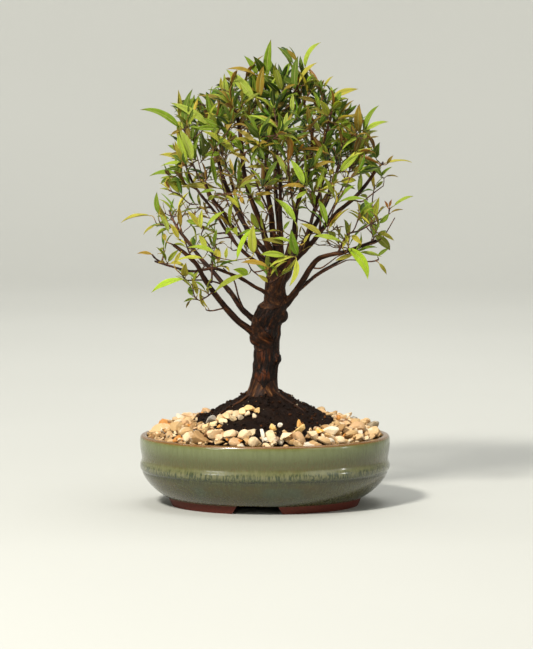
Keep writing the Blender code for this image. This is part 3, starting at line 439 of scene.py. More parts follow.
class Number:
    """A number that varies over a surface, used in sums like any other number."""

    def __init__(self, finish, socket):
        self.finish = finish
        self.socket = socket

    def math(self, operation, *terms):
        node = self.finish.node("ShaderNodeMath", {"operation": operation}, dict(enumerate(terms)))
        return Number(self.finish, node.outputs[0])

    def __add__(self, other):
        return self.math("ADD", self, other)

    def __sub__(self, other):
        return self.math("SUBTRACT", self, other)

    def __rsub__(self, other):
        return self.math("SUBTRACT", other, self)

    def __mul__(self, other):
        return self.math("MULTIPLY", self, other)

    __radd__ = __add__
    __rmul__ = __mul__

    def size(self):
        return self.math("ABSOLUTE", self)

    def between(self, low, high):
        """0 below low, 1 above high and a smooth step between; low may be the higher one."""
        settings = {"interpolation_type": "SMOOTHSTEP"}
        node = self.finish.node("ShaderNodeMapRange", settings, {0: self, 1: low, 2: high})
        return Number(self.finish, node.outputs[0])


class Finish:
    """A material, and the nodes that feed its Principled shader."""

    def __init__(self, name, constants):
        self.material = bpy.data.materials.new(name)
        self.material.use_nodes = True
        self.tree = self.material.node_tree
        self.shader = self.tree.nodes["Principled BSDF"]
        for socket, value in constants.items():
            self.shader.inputs[socket].default_value = value

    def node(self, kind, settings, inputs):
        node = self.tree.nodes.new(kind)
        for setting, value in settings.items():
            if setting == "stops":
                self.set_stops(node.color_ramp, value)
            else:
                setattr(node, setting, value)
        for key, value in inputs.items():
            self.feed(node.inputs[key], value)
        return node

    def feed(self, socket, value):
        if isinstance(value, Number):
            value = value.socket
        if isinstance(value, bpy.types.NodeSocket):
            self.tree.links.new(value, socket)
        else:
            socket.default_value = value

    def set_stops(self, ramp, stops):
        while len(ramp.elements) < len(stops):
            ramp.elements.new(1.0)
        for element, (place, colour) in zip(ramp.elements, stops):
            element.position = place
            element.color = opaque(colour)

    def place(self):
        return self.node("ShaderNodeTexCoord", {}, {}).outputs["Object"]

    def split(self, vector):
        """The three numbers of a vector."""
        node = self.node("ShaderNodeSeparateXYZ", {}, {0: vector})
        return [Number(self, socket) for socket in node.outputs]

    def stretch(self, vector, factors):
        node = self.node("ShaderNodeVectorMath", {"operation": "MULTIPLY"}, {0: vector, 1: factors})
        return node.outputs[0]

    def noise(self, vector, size, detail=4.0, rough=0.55):
        """Cloudy noise whose patches are about a size across."""
        inputs = {"Vector": vector, "Scale": 0.5 / size, "Detail": detail, "Roughness": rough}
        return Number(self, self.node("ShaderNodeTexNoise", {}, inputs).outputs["Fac"])

    def cells(self, vector, size, feature="F1"):
        """Distance from the middle, or the edge, of cells about a size across."""
        inputs = {"Vector": vector, "Scale": 1.0 / size}
        node = self.node("ShaderNodeTexVoronoi", {"feature": feature}, inputs)
        return Number(self, node.outputs["Distance"])

    def ramp(self, number, stops):
        return self.node("ShaderNodeValToRGB", {"stops": stops}, {0: number}).outputs["Color"]

    def mix(self, factor, first, second, blend="MIX"):
        settings = {"data_type": "RGBA", "blend_type": blend}
        return self.node("ShaderNodeMix", settings, {0: factor, 6: first, 7: second}).outputs[2]

    def note(self, name, output="Fac"):
        """A note that the mesh carries on its points."""
        socket = self.node("ShaderNodeAttribute", {"attribute_name": name}, {}).outputs[output]
        return Number(self, socket) if output == "Fac" else socket

    def darker(self, colour, shares):
        """A colour times a share of its red, green and blue."""
        return self.mix(1.0, colour, (*shares, 1.0), "MULTIPLY")

    def bump(self, height, distance, strength=1.0, under=None):
        inputs = {"Strength": strength, "Distance": distance, "Height": height}
        if under is not None:
            inputs["Normal"] = under
        return self.node("ShaderNodeBump", {}, inputs).outputs[0]

    def done(self, colour, roughness, normal):
        self.feed(self.shader.inputs["Base Color"], colour)
        self.feed(self.shader.inputs["Roughness"], roughness)
        self.feed(self.shader.inputs["Normal"], normal)
        return self.material


def glaze_finish(sizes):
    """Runny green glaze, thin and brown on the edges, over a bare red-brown foot."""
    finish = Finish("glaze", {"Coat Weight": 0.55, "Coat Roughness": 0.07, "IOR": 1.5})
    place = finish.place()
    height = finish.split(place)[2] * (1.0 / POT_HEIGHT)
    runs = finish.noise(finish.stretch(place, (1.0, 1.0, 0.10)), 1.1 * MM, 3.0)
    clouds = finish.noise(finish.stretch(place, (1.0, 1.0, 1.6)), 16.0 * MM, 4.0)
    speckle = finish.noise(place, 1.0 * MM, 5.0, 0.75)
    level = height + (clouds - 0.5) * 0.05 + (runs - 0.5) * 0.035
    # The dark stops at 0.463 and 0.485 lie in the groove under the belt: partly the glaze's own dark line, partly
    # painted shade under the belt
    bands = finish.ramp(level, [(place, mingled(colour, (0, 0, 0), 0.21)) for place, colour in [
        (0.00, (66, 62, 26)), (0.16, (76, 70, 30)), (0.30, (84, 80, 36)), (0.42, (82, 74, 26)),
        (0.463, (62, 62, 28)), (0.485, (56, 58, 26)), (0.515, (98, 100, 58)), (0.56, (134, 132, 90)),
        (0.63, (132, 132, 86)), (0.675, (98, 94, 42)), (0.75, (100, 102, 54)), (0.86, (122, 130, 80)),
        (0.935, (132, 140, 86)), (0.975, (134, 132, 66)), (1.0, (132, 104, 44))]])
    streaks = runs.between(0.42, 0.62)
    bands = finish.mix(streaks * 0.30, bands, opaque((74, 78, 32)))
    grey = clouds.between(0.48, 0.66) * height.between(0.47, 0.38)
    bands = finish.mix(grey * 0.55, bands, opaque((60, 76, 56)))
    olive = clouds.between(0.50, 0.34) * height.between(0.47, 0.38)
    bands = finish.mix(olive * 0.55, bands, opaque((78, 66, 26)))
    brown = speckle.between(0.52, 0.64) * height.between(0.60, 0.67) * height.between(0.90, 0.72)
    bands = finish.mix(brown * 0.75, bands, opaque((84, 66, 26)))
    belt = height.between(0.475, 0.51) * height.between(0.645, 0.58)
    dashes = finish.noise(finish.stretch(place, (1.0, 1.0, 0.18)), 0.55 * MM, 2.0)
    crackle = dashes.between(0.50, 0.56) * belt * clouds.between(0.30, 0.48)
    bands = finish.mix(crackle * 0.85, bands, opaque((30, 46, 18)))
    lip = height.between(0.960, 0.985)
    bands = finish.mix(lip * 0.95, bands, opaque(sizes.lip_colour))
    pits = finish.cells(place, 9.0 * MM).between(0.055, 0.03)
    bands = finish.mix(pits * 0.7, bands, opaque((52, 50, 30)))
    clay = height.between(0.118, 0.106)
    grain = finish.noise(place, 0.6 * MM, 3.0)
    clay_colour = finish.mix(grain, opaque((50, 9, 0)), opaque((108, 34, 3)))
    colour = finish.mix(clay, bands, clay_colour)
    roughness = 0.24 + streaks * 0.06 + clay * 0.46
    finish.feed(finish.shader.inputs["Coat Weight"], 0.55 - clay * 0.55)
    ripple = finish.bump(clouds + runs * 0.10, 0.5 * MM, 0.35)
    normal = finish.bump(grain * clay - crackle * 0.12 - pits * 0.3, 0.25 * MM, 0.6, ripple)
    return finish.done(colour, roughness, normal)


def bark_finish():
    """Dark, ridged bark on the trunk, smoother and redder on the boughs."""
    finish = Finish("bark_ridged", {"Specular IOR Level": 0.15})
    grain = finish.note("grain", "Vector")
    girth = finish.note("girth")
    streaks = finish.noise(grain, 1.3 * MM, 5.0, 0.65)
    plates = finish.cells(grain, 3.2 * MM, "DISTANCE_TO_EDGE")
    patches = finish.noise(finish.place(), 11.0 * MM, 3.0)
    thick = finish.ramp(streaks, [
        (0.36, (8, 3, 1)), (0.50, (24, 9, 2)), (0.60, (52, 23, 4)), (0.69, (92, 50, 16)),
        (0.78, (142, 98, 52))])
    thin = finish.ramp(streaks, [
        (0.34, (18, 8, 2)), (0.50, (44, 22, 8)), (0.62, (78, 46, 20)), (0.76, (136, 98, 60))])
    colour = finish.mix(girth.between(0.18, 0.62), thin, thick)
    rusty = patches.between(0.50, 0.66) * streaks.between(0.45, 0.62)
    colour = finish.mix(rusty * 0.45, colour, opaque((92, 42, 12)))
    # Painted shade: the cracks between the bark plates are painted near-black, and the same mask sinks them in the bump
    shaded_cracks = plates.between(0.10, 0.0) * girth.between(0.3, 0.7)
    colour = finish.mix(shaded_cracks * 0.6, colour, opaque((10, 5, 3)))
    fine = finish.noise(finish.place(), 0.35 * MM, 3.0)
    normal = finish.bump(streaks - shaded_cracks * 0.5, 0.8 * MM, 0.8)
    normal = finish.bump(fine, 0.12 * MM, 0.5, normal)
    return finish.done(colour, 0.40 + fine * 0.35, normal)


def twig_finish():
    """Young stems: brown where they leave the bough, green and red near the leaves."""
    finish = Finish("bark_young", {"Specular IOR Level": 0.4})
    young = finish.note("young")
    tint = finish.note("tint", "Color")
    mottle = finish.noise(finish.stretch(finish.place(), (1.0, 1.0, 0.5)), 0.9 * MM, 4.0)
    old = finish.ramp(mottle, [(0.34, (30, 12, 4)), (0.5, (66, 32, 12)), (0.7, (124, 80, 44))])
    colour = finish.mix(young.between(0.35, 0.95), old, tint)
    colour = finish.mix(mottle.between(0.55, 0.75) * 0.35, colour, opaque((60, 30, 14)))
    return finish.done(colour, 0.42 + mottle * 0.3, finish.bump(mottle, 0.2 * MM, 0.6))


def leaf_finish(name, side, vein_depth, gloss, sheen_level):
    """One side of a leaf: midrib, slanting veins, mottling and a darker or browner margin."""
    finish = Finish(name, {"Specular IOR Level": sheen_level, "Coat Roughness": 0.25})
    tint = finish.note(side, "Color")
    along, across, chance = finish.split(finish.note("blade", "Vector"))
    out = across.size()
    midrib = out.between(0.16, 0.03)
    slant = along * 15.0 - out * 2.4 + chance * 3.0
    veins = slant.math("FRACT", slant) - 0.5
    veins = veins.size().between(0.34, 0.48) * out.between(0.98, 0.7)
    mottle = finish.noise(finish.place(), 2.2 * MM, 4.0)
    speck = finish.noise(finish.place(), 0.5 * MM, 3.0)
    colour = finish.mix(mottle.between(0.35, 0.70) * 0.35, tint, finish.darker(tint, (0.55, 0.62, 0.45)))
    colour = finish.mix(veins * 0.20, colour, finish.darker(tint, (0.62, 0.70, 0.55)))
    pale = finish.mix(0.55, tint, opaque((208, 204, 120)))
    colour = finish.mix(midrib * 0.75, colour, pale)
    tipped = along.between(0.80, 1.0) * mottle.between(0.42, 0.6)
    margin = out.between(0.86, 1.0) * speck.between(0.45, 0.6)
    colour = finish.mix(tipped.math("MAXIMUM", tipped, margin) * 0.35, colour, opaque((142, 92, 38)))
    relief = finish.bump(veins * -1.0 - midrib * 1.6 + mottle * 0.6, vein_depth, 0.8)
    normal = finish.bump(speck, 0.05 * MM, 0.5, relief)
    return finish.done(colour, gloss + mottle * 0.22, normal)


def soil_finish():
    """Wet black potting soil with bits of fibre and grit."""
    finish = Finish("soil_damp", {"Specular IOR Level": 0.12})
    tint = finish.note("tint", "Color")
    clods = finish.noise(finish.place(), 2.6 * MM, 6.0, 0.7)
    fine = finish.noise(finish.place(), 0.5 * MM, 4.0, 0.7)
    colour = finish.mix(clods.between(0.35, 0.7), finish.darker(tint, (0.45, 0.42, 0.40)), tint)
    chips = fine.between(0.66, 0.74) * clods.between(0.5, 0.6)
    colour = finish.mix(chips * 0.8, colour, opaque((96, 58, 26)))
    normal = finish.bump(clods + fine * 0.5, 1.0 * MM, 0.9)
    return finish.done(colour, 0.44 + fine * 0.45, normal)


def gravel_finish():
    """Washed quartz chips: each stone has its own colour, with stains and grains in it."""
    finish = Finish("gravel_chips", {"Specular IOR Level": 0.4})
    tint = finish.note("tint", "Color")
    stains = finish.noise(finish.place(), 4.0 * MM, 5.0, 0.6)
    grains = finish.noise(finish.place(), 0.7 * MM, 4.0, 0.7)
    colour = finish.mix(stains.between(0.50, 0.74) * 0.40, tint, opaque((204, 156, 104)))
    colour = finish.mix(stains.between(0.46, 0.30) * 0.45, colour, opaque((246, 236, 214)))
    colour = finish.mix(grains.between(0.60, 0.72) * 0.40, colour, opaque((136, 104, 70)))
    normal = finish.bump(stains * 2.0 + grains * 0.5, 0.5 * MM, 0.6)
    return finish.done(colour, 0.55 + grains * 0.3, normal)


def screen_finish():
    """Black moulded drain mesh, dulled by dust."""
    finish = Finish("screen_moulded", {"Specular IOR Level": 0.4})
    dust = finish.noise(finish.place(), 3.0 * MM, 4.0)
    fine = finish.noise(finish.place(), 0.4 * MM, 2.0)
    colour = finish.ramp(dust, [(0.35, (26, 26, 27)), (0.7, (62, 58, 52))])
    return finish.done(colour, 0.45 + dust * 0.3, finish.bump(fine, 0.1 * MM, 0.4))


def studio_finish():
    """Matt pale paper for the floor and backdrop."""
    finish = Finish("studio_paper", {"Specular IOR Level": 0.2})
    cloud = finish.noise(finish.place(), 0.4, 2.0)
    colour = finish.ramp(cloud, [(0.2, (180, 180, 173)), (0.8, (186, 186, 179))])
    return finish.done(colour, 0.9, finish.bump(cloud, 0.0005, 0.2))


# ---------------------------------------------------------------- mesh helpers


class Shell:
    """The points and faces of a mesh that is being put together, with notes on its points."""

    def __init__(self):
        self.points = []
        self.faces = []
        self.notes = {}

    def add(self, points, faces, **notes):
        first = len(self.points)
        self.points.extend(points)
        self.faces.extend([tuple(first + i for i in face) for face in faces])
        for name, values in notes.items():
            self.notes.setdefault(name, []).extend(values)

    def piece(self, name, materials, smooth=True):
        mesh = bpy.data.meshes.new(name)
        mesh.from_pydata([tuple(point) for point in self.points], [], self.faces)
        for note, values in self.notes.items():
            write_note(mesh, note, values)
        mesh.validate()
        for polygon in mesh.polygons:
            polygon.use_smooth = smooth
        return new_piece(name, mesh, materials)


def write_note(mesh, name, values):
    """Store a number, a vector or a colour on each point of a mesh."""
    width = len(values[0]) if hasattr(values[0], "__len__") else 1
    kind, field = {1: ("FLOAT", "value"), 3: ("FLOAT_VECTOR", "vector"), 4: ("FLOAT_COLOR", "color")}[width]
    layer = mesh.attributes.new(name, kind, "POINT")
    layer.data.foreach_set(field, np.asarray(values, dtype=np.float32).ravel())


def new_piece(name, mesh, materials):
    obj = bpy.data.objects.new(name, mesh)
    for material in materials:
        mesh.materials.append(material)
    bpy.context.scene.collection.objects.link(obj)
    return obj


def settled(obj):
    """Apply an object's modifiers to its mesh."""
    depsgraph = bpy.context.evaluated_depsgraph_get()
    mesh = bpy.data.meshes.new_from_object(obj.evaluated_get(depsgraph))
    obj.modifiers.clear()
    obj.data = mesh
    return obj


def hand_over(piece, slot, *nodes):
    """A finished piece rides on the pot's body and stands for its nodes."""
    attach(piece, BODY)
    if nodes:
        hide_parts(*nodes)
    return piece


def place_on_tree(x, y, z):
    """Where a measured point of the tree stands on this pot."""
    return Vector((x, y, z)) * MM + Vector((0.0, 0.0, ROOT_CROWN - MEASURED_CROWN))


def eye_line(x, z, y):
    """The place at a depth y that lines up, from the eye, with (x, z) on the plane through the trunk."""
    share = (y * MM - EYE.y) / -EYE.y
    flat = place_on_tree(x, 0.0, z)
    return Vector((flat.x * share, y * MM, EYE.z + (flat.z - EYE.z) * share))


def flowing(points, step):
    """Points and their place in the run, along one smooth curve through a run of points."""
    ends = [2 * points[0] - points[1]] + list(points) + [2 * points[-1] - points[-2]]
    run = []
    for i in range(len(points) - 1):
        a, b, c, d = ends[i:i + 4]
        count = max(1, round((c - b).length / step))
        for k in range(count):
            t = k / count
            spot = 0.5 * (
                2 * b + (c - a) * t + (2 * a - 5 * b + 4 * c - d) * t**2 + (3 * b - a - 3 * c + d) * t**3)
            run.append((spot, i + t))
    run.append((points[-1].copy(), len(points) - 1.0))
    return run


def tangents(points):
    last = len(points) - 1
    return [(points[min(i + 1, last)] - points[max(i - 1, 0)]).normalized() for i in range(last + 1)]


def tube(shell, points, radii, sides, **notes):
    """Closed tube along a run of points, carried along it without twisting."""
    directions = tangents(points)
    side = directions[0].orthogonal().normalized()
    ring_points = []
    for centre, heading, radius in zip(points, directions, radii):
        side = (side - heading * side.dot(heading)).normalized()
        across = heading.cross(side)
        for i in range(sides):
            angle = 2.0 * math.pi * i / sides
            ring_points.append(centre + (side * math.cos(angle) + across * math.sin(angle)) * radius)
    faces = [tuple(range(sides))[::-1]]
    for ring in range(len(points) - 1):
        low = ring * sides
        for i in range(sides):
            j = (i + 1) % sides
            faces.append((low + i, low + j, low + sides + j, low + sides + i))
    faces.append(tuple((len(points) - 1) * sides + i for i in range(sides)))
    spread = {name: [value for value in values for _ in range(sides)] for name, values in notes.items()}
    shell.add(ring_points, faces, **spread)


def turned(profile, steps):
    """Points and faces of an oval solid from a half profile of (half-width, height)."""
    points = []
    for radius, height in profile:
        for i in range(steps):
            angle = 2.0 * math.pi * i / steps
            points.append(Vector((radius * math.cos(angle), radius * math.sin(angle) * DEPTH_RATIO, height)))
    faces = []
    for ring in range(len(profile) - 1):
        for i in range(steps):
            j = (i + 1) % steps
            faces.append((ring * steps + i, ring * steps + j, (ring + 1) * steps + j, (ring + 1) * steps + i))
    return points, faces


def reading(stations, across):
    """Height of a run of (half-width, height) stations, from the outside in, at a half-width."""
    for (x0, z0), (x1, z1) in zip(stations, stations[1:]):
        if x1 <= across <= x0:
            return z0 + (z1 - z0) * (x0 - across) / (x0 - x1)
    return stations[0][1] if across > stations[0][0] else stations[-1][1]


# ---------------------------------------------------------------- pot


def arc(radius_top, z_top, turn, drop, segments):
    """Quarter of an ellipse that runs down and in, in millimetres."""
    points = []
    for i in range(1, segments + 1):
        angle = 0.5 * math.pi * i / segments
        points.append((radius_top - turn * (1.0 - math.cos(angle)), z_top - drop * math.sin(angle)))
    return points


def pot_profile():
    """Half profile of the pot in millimetres: up the inside, over the lip, down the belt and the foot."""
    inside = [(0.0, 12.5)] + arc(92.6, 32.0, 20.0, 19.5, 12)[::-1] + [(92.6, 32.0), (93.9, 46.0), (94.0, 53.4)]
    lip = [(94.3, 54.9), (95.1, 55.8), (96.2, 56.0), (97.8, 55.9), (98.9, 55.4), (99.6, 54.5), (99.9, 53.2)]
    band = [(100.0, 51.5), (100.0, 49.0), (99.8, 46.0), (99.4, 43.2), (98.9, 40.6), (98.5, 38.0)]
    belt = [(98.6, 36.4), (99.0, 35.1), (99.6, 33.8), (99.9, 32.4), (99.9, 30.6), (99.6, 29.2), (99.0, 28.2)]
    groove = [(98.3, 27.6), (98.0, 27.1), (98.0, 26.6), (98.1, 26.1), (97.9, 25.4)]
    bowl = [(97.1, 23.6), (95.9, 21.6), (94.3, 19.3), (92.4, 17.0), (90.3, 14.8), (88.0, 12.7), (85.6, 10.8),
            (83.2, 9.1), (81.0, 7.7), (79.2, 6.7)]
    foot = [(78.2, 6.2), (77.8, 5.4), (76.2, 0.6), (75.6, 0.0), (68.8, 0.0), (68.0, 0.7), (68.0, 6.5), (0.0, 6.5)]
    return [(x, z) for x, z in inside + lip + band + belt + groove + bowl + foot]


def foot_gap(width, x, y, turn):
    """Block with sloping ends that opens a gap in the foot ring."""
    slope = 5.0
    top = 6.8
    half = width / 2
    outline = [(-half - slope / 2, -6.0), (half + slope / 2, -6.0), (half - slope, top), (-half + slope, top)]
    points = [Vector((along, side * 25.0, z)) * MM for side in (-1, 1) for along, z in outline]
    faces = [(0, 1, 2, 3), (7, 6, 5, 4)] + [(i, i + 4, (i + 1) % 4 + 4, (i + 1) % 4) for i in range(4)]
    matrix = Matrix.Translation(Vector((x, y, 0.0)) * MM) @ Matrix.Rotation(turn, 4, "Z")
    shell = Shell()
    shell.add([matrix @ point for point in points], faces)
    return facing_out(shell.piece("foot_gap", []))


def facing_out(obj):
    bm = bmesh.new()
    bm.from_mesh(obj.data)
    bmesh.ops.recalc_face_normals(bm, faces=bm.faces)
    bm.to_mesh(obj.data)
    bm.free()
    return obj


def cut(obj, cutters):
    for cutter in cutters:
        modifier = obj.modifiers.new("cut", "BOOLEAN")
        modifier.operation = "DIFFERENCE"
        modifier.object = cutter
    settled(obj)
    for cutter in cutters:
        bpy.data.objects.remove(cutter, do_unlink=True)
    return obj


def build_pot(sizes):
    points, faces = turned([(x * MM, z * MM) for x, z in pot_profile()], POT_STEPS)
    shell = Shell()
    shell.add(points, faces)
    pot = shell.piece("pot_body", [glaze_finish(sizes)])
    bm = bmesh.new()
    bm.from_mesh(pot.data)
    bmesh.ops.remove_doubles(bm, verts=bm.verts, dist=0.001 * MM)
    bmesh.ops.recalc_face_normals(bm, faces=bm.faces)
    bm.to_mesh(pot.data)
    bm.free()
    side = 80.0 * DEPTH_RATIO
    gaps = [(42.0, -6.0, -side, 0.0), (42.0, 6.0, side, 0.0), (34.0, -80.0, 0.0, math.pi / 2),
            (34.0, 80.0, 0.0, math.pi / 2)]
    cutters = [foot_gap(*gap) for gap in gaps]
    for x in (-38.0, 38.0):
        bpy.ops.mesh.primitive_cylinder_add(vertices=48, radius=7.0 * MM, depth=24.0 * MM, location=(x * MM, 0, 12 * MM))
        cutters.append(bpy.context.object)
    cut(pot, cutters)
    for vert in pot.data.vertices:
        wobble = noise.noise(Vector(vert.co) * 18.0) * 0.25 * MM
        if vert.co.z > FOOT_HEIGHT + MM:
            vert.co += Vector((vert.co.x, vert.co.y, 0.0)).normalized() * wobble
    for polygon in pot.data.polygons:
        polygon.use_smooth = True
    soften = pot.modifiers.new("edges", "EDGE_SPLIT")
    soften.split_angle = math.radians(35.0)
    hand_over(settled(pot), "pot_glaze", "pot")


# ---------------------------------------------------------------- soil and gravel


def soil_stations():
    """The soil from the wall to the middle of the mound, as (half-width, height)."""
    edge = POT_HALF - RIM_WALL - 0.3 * MM
    inner = GRAVEL_INNER
    base = POT_HEIGHT - SOIL_DROP
    rise = ROOT_CROWN - base
    return [
        (edge, base), (inner + 0.75 * (edge - inner), base + 0.20 * rise), (inner + 0.40 * (edge - inner), base + 0.33 * rise),
        (inner, base + 0.45 * rise), (0.80 * inner, base + 0.56 * rise), (0.58 * inner, base + 0.74 * rise),
        (0.40 * inner, base + 0.88 * rise), (0.20 * inner, base + 1.06 * rise), (0.0, base + 1.08 * rise),
    ]


def gravel_edge(x, y):
    """Half-width at which the gravel begins: further out in front, where the mound runs down bare."""
    front = max(0.0, -y / DEPTH_RATIO / max(half_width(x, y), MM))
    return GRAVEL_INNER + 22.0 * MM * front**1.5


def clods(x, y, size, height):
    """Rough lumps of a size, between 0 and a height."""
    where = Vector((x, y, 0.0)) / size
    return height * (0.5 + 0.5 * noise.turbulence(where, 3, False))


def half_width(x, y):
    return math.hypot(x, y / DEPTH_RATIO)


def soil_height(x, y):
    """Height of the finished soil at a place in the pot."""
    across = half_width(x, y)
    height = reading(soil_stations(), across)
    bare = 1.0 - min(1.0, max(0.0, (across - gravel_edge(x, y)) / (0.08 * GRAVEL_INNER)))
    lumps = clods(x, y, 6.0 * MM, 3.4 * MM) + clods(x + 1.0, y, 2.0 * MM, 1.8 * MM) - 1.7 * MM
    gully = 1.6 * MM * noise.noise(Vector((12.0 * math.atan2(y, x) / math.pi, 18.0 * across, 3.0)))
    return height + bare * (lumps + gully)


def chip_shape(rng, sides, roundness, fineness=3):
    """Points and faces of one angular chip, about 1 across: a ball cut flat from many sides."""
    bm = bmesh.new()
    bmesh.ops.create_icosphere(bm, subdivisions=fineness, radius=1.0)
    planes = []
    for _ in range(sides):
        planes.append((Vector((rng.gauss(0, 1), rng.gauss(0, 1), rng.gauss(0, 1))).normalized(), rng.uniform(0.42, 0.86)))
    points = []
    for vert in bm.verts:
        reach = min([1.15] + [depth / max(0.01, vert.co.dot(normal)) for normal, depth in planes])
        points.append(vert.co.lerp(vert.co * reach, roundness))
    faces = [tuple(vert.index for vert in face.verts) for face in bm.faces]
    bm.free()
    return points, faces


def add_chip(shell, shape, middle, reach, turn, colour):
    points, faces = shape
    matrix = Matrix.Translation(middle) @ turn.to_4x4() @ Matrix.Diagonal((*reach, 1.0))
    shell.add([matrix @ point for point in points], faces, tint=[opaque(colour)] * len(points))


def any_turn(rng, tilt):
    """A turn about the upright, with a tilt of up to an angle to any side."""
    yaw = Matrix.Rotation(rng.uniform(0.0, 2.0 * math.pi), 3, "Z")
    lean = Matrix.Rotation(rng.uniform(-tilt, tilt), 3, "X") @ Matrix.Rotation(rng.uniform(-tilt, tilt), 3, "Y")
    return lean @ yaw


def build_soil():
    """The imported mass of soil, its mound of crumbs, and the grit and fibre lying on it."""
    rings = 84
    steps = 220
    edge = soil_stations()[0][0]
    points = []
    for ring in range(1, rings + 1):
        across = edge * ring / rings
        for i in range(steps):
            angle = 2.0 * math.pi * i / steps
            x = across * math.cos(angle)
            y = across * math.sin(angle) * DEPTH_RATIO
            points.append(Vector((x, y, soil_height(x, y))))
    below = [(93.4, 44.0), (92.7, 26.0), (89.0, 18.0), (78.7, 12.8)]
    for across, height in below:
        for i in range(steps):
            angle = 2.0 * math.pi * i / steps
            points.append(Vector((across * math.cos(angle), across * math.sin(angle) * DEPTH_RATIO, height)) * 1.0)
            points[-1] = Vector((points[-1].x, points[-1].y, height)) * MM
    faces = []
    for ring in range(rings + len(below) - 1):
        for i in range(steps):
            j = (i + 1) % steps
            faces.append((ring * steps + i, (ring + 1) * steps + i, (ring + 1) * steps + j, ring * steps + j))
    top = len(points)
    points.append(Vector((0.0, 0.0, ROOT_CROWN)))
    points.append(Vector((0.0, 0.0, 12.8 * MM)))
    last = (rings + len(below) - 1) * steps
    for i in range(steps):
        j = (i + 1) % steps
        faces.append((top, i, j))
        faces.append((top + 1, last + j, last + i))
    shell = Shell()
    shell.add(points, faces, tint=[opaque((30, 15, 5))] * len(points))
    rng = random.Random(21)
    shapes = [chip_shape(rng, 9, 0.9, 2) for _ in range(4)]
    crumbs = [(27, 14, 5)] * 14 + [(56, 30, 10)] * 7 + [(82, 46, 20), (128, 78, 36), (190, 176, 150), (214, 196, 160)]
    for _ in range(760):
        x, y = spot_in_ring(rng, 12.0 * MM, 72.0 * MM)
        colour = rng.choice(crumbs)
        size = rng.uniform(0.5, 1.9) * MM * (0.6 if sum(colour) > 300 else 1.0)
        middle = Vector((x, y, soil_height(x, y) + 0.2 * size))
        add_chip(shell, rng.choice(shapes), middle, (size, size * 0.8, size * 0.7), any_turn(rng, 0.6), colour)
    hand_over(shell.piece("soil_mass", [soil_finish()]), "wet_soil", "soil")


def spot_in_ring(rng, inner, outer):
    """A place between two half-widths, spread evenly over the ground."""
    across = math.sqrt(rng.uniform(inner**2, outer**2))
    angle = rng.uniform(0.0, 2.0 * math.pi)
    return across * math.cos(angle), across * math.sin(angle) * DEPTH_RATIO


def bed_height(x, y):
    """Top of the gravel bed before the single stones."""
    across = half_width(x, y)
    share = min(1.0, max(0.0, (POT_HALF - RIM_WALL - across) / (POT_HALF - RIM_WALL - GRAVEL_INNER)))
    return reading(soil_stations(), across) + GRAVEL_THICKNESS * (1.0 - 0.6 * share**3)


def scatter(rng, count, inner, outer, sizes, spacing, taken, slack):
    """Places for stones, no two nearer than a share of their sizes."""
    spots = []
    for _ in range(count):
        x, y = spot_in_ring(rng, inner, outer)
        size = rng.choice(sizes) * rng.uniform(0.85, 1.15) * MM
        if half_width(x, y) + 0.8 * size > POT_HALF - RIM_WALL or half_width(x, y) < gravel_edge(x, y) - slack:
            continue
        near = taken + spots
        if any((x - a) ** 2 + (y - b) ** 2 < (spacing * (size + other)) ** 2 for a, b, other in near):
            continue
        spots.append((x, y, size))
    return spots


# Stones placed one by one: middle x and y, lift above the bed, reach along, across and up, turn, lean, colour
CHOSEN_STONES = [
    (-2, -68, 2.5, 2.6, 2.4, 5.8, 0.2, 0.12, (226, 218, 200)),
    (16, -68, 2.0, 8.0, 4.0, 3.0, 0.28, 0.30, (240, 216, 176)),
    (28, -58, 3.0, 7.5, 3.6, 3.2, 0.45, 0.34, (238, 204, 134)),
    (42, -56, 2.4, 6.0, 4.2, 3.4, 0.1, 0.0, (232, 172, 72)),
    (27, -50, 3.6, 2.4, 2.2, 4.0, 0.5, 0.1, (222, 166, 92)),
    (6, -60, 2.6, 4.2, 3.6, 3.4, 0.9, 0.1, (232, 186, 108)),
    (-10, -64, 2.0, 4.6, 3.8, 3.6, 0.6, 0.1, (196, 176, 138)),
    (-28, -64, 2.0, 5.4, 4.4, 3.6, 0.3, 0.1, (228, 198, 158)),
    (-40, -60, 2.4, 7.0, 5.2, 4.2, 0.2, 0.1, (236, 204, 160)),
    (-47, -50, 3.2, 6.4, 5.4, 4.4, 0.9, 0.2, (232, 200, 146)),
    (52, -52, 2.2, 7.0, 4.6, 3.6, 0.3, 0.1, (238, 220, 186)),
    (12, -54, 2.8, 2.0, 2.0, 1.8, 0.3, 0.0, (240, 230, 210)),
]

# The drift of stones that lies higher on the mound, on its left front
DRIFT_STONES = [
    (-37, -27, 4.2, (222, 190, 142)), (-30, -29, 3.8, (232, 200, 150)), (-24, -28, 3.8, (206, 182, 142)),
    (-33, -33, 3.6, (236, 210, 166)), (-26, -33, 3.4, (214, 188, 146)), (-18, -28, 4.2, (240, 206, 150)),
    (-12, -28, 3.6, (232, 192, 130)), (-20, -32, 3.2, (198, 178, 148)), (-6, -29, 2.8, (226, 184, 116)),
    (-40, -33, 3.4, (240, 210, 156)), (-36, -40, 2.2, (222, 156, 76)), (-14, -32, 2.8, (226, 202, 164)),
    (-43, -24, 4.4, (170, 164, 154)), (-35, -22, 3.4, (198, 172, 132)), (-28, -24, 3.4, (226, 198, 156)),
    (-46, -36, 3.4, (234, 206, 160)), (-45, -43, 3.2, (240, 214, 176)), (-9, -33, 2.2, (236, 214, 178)),
]


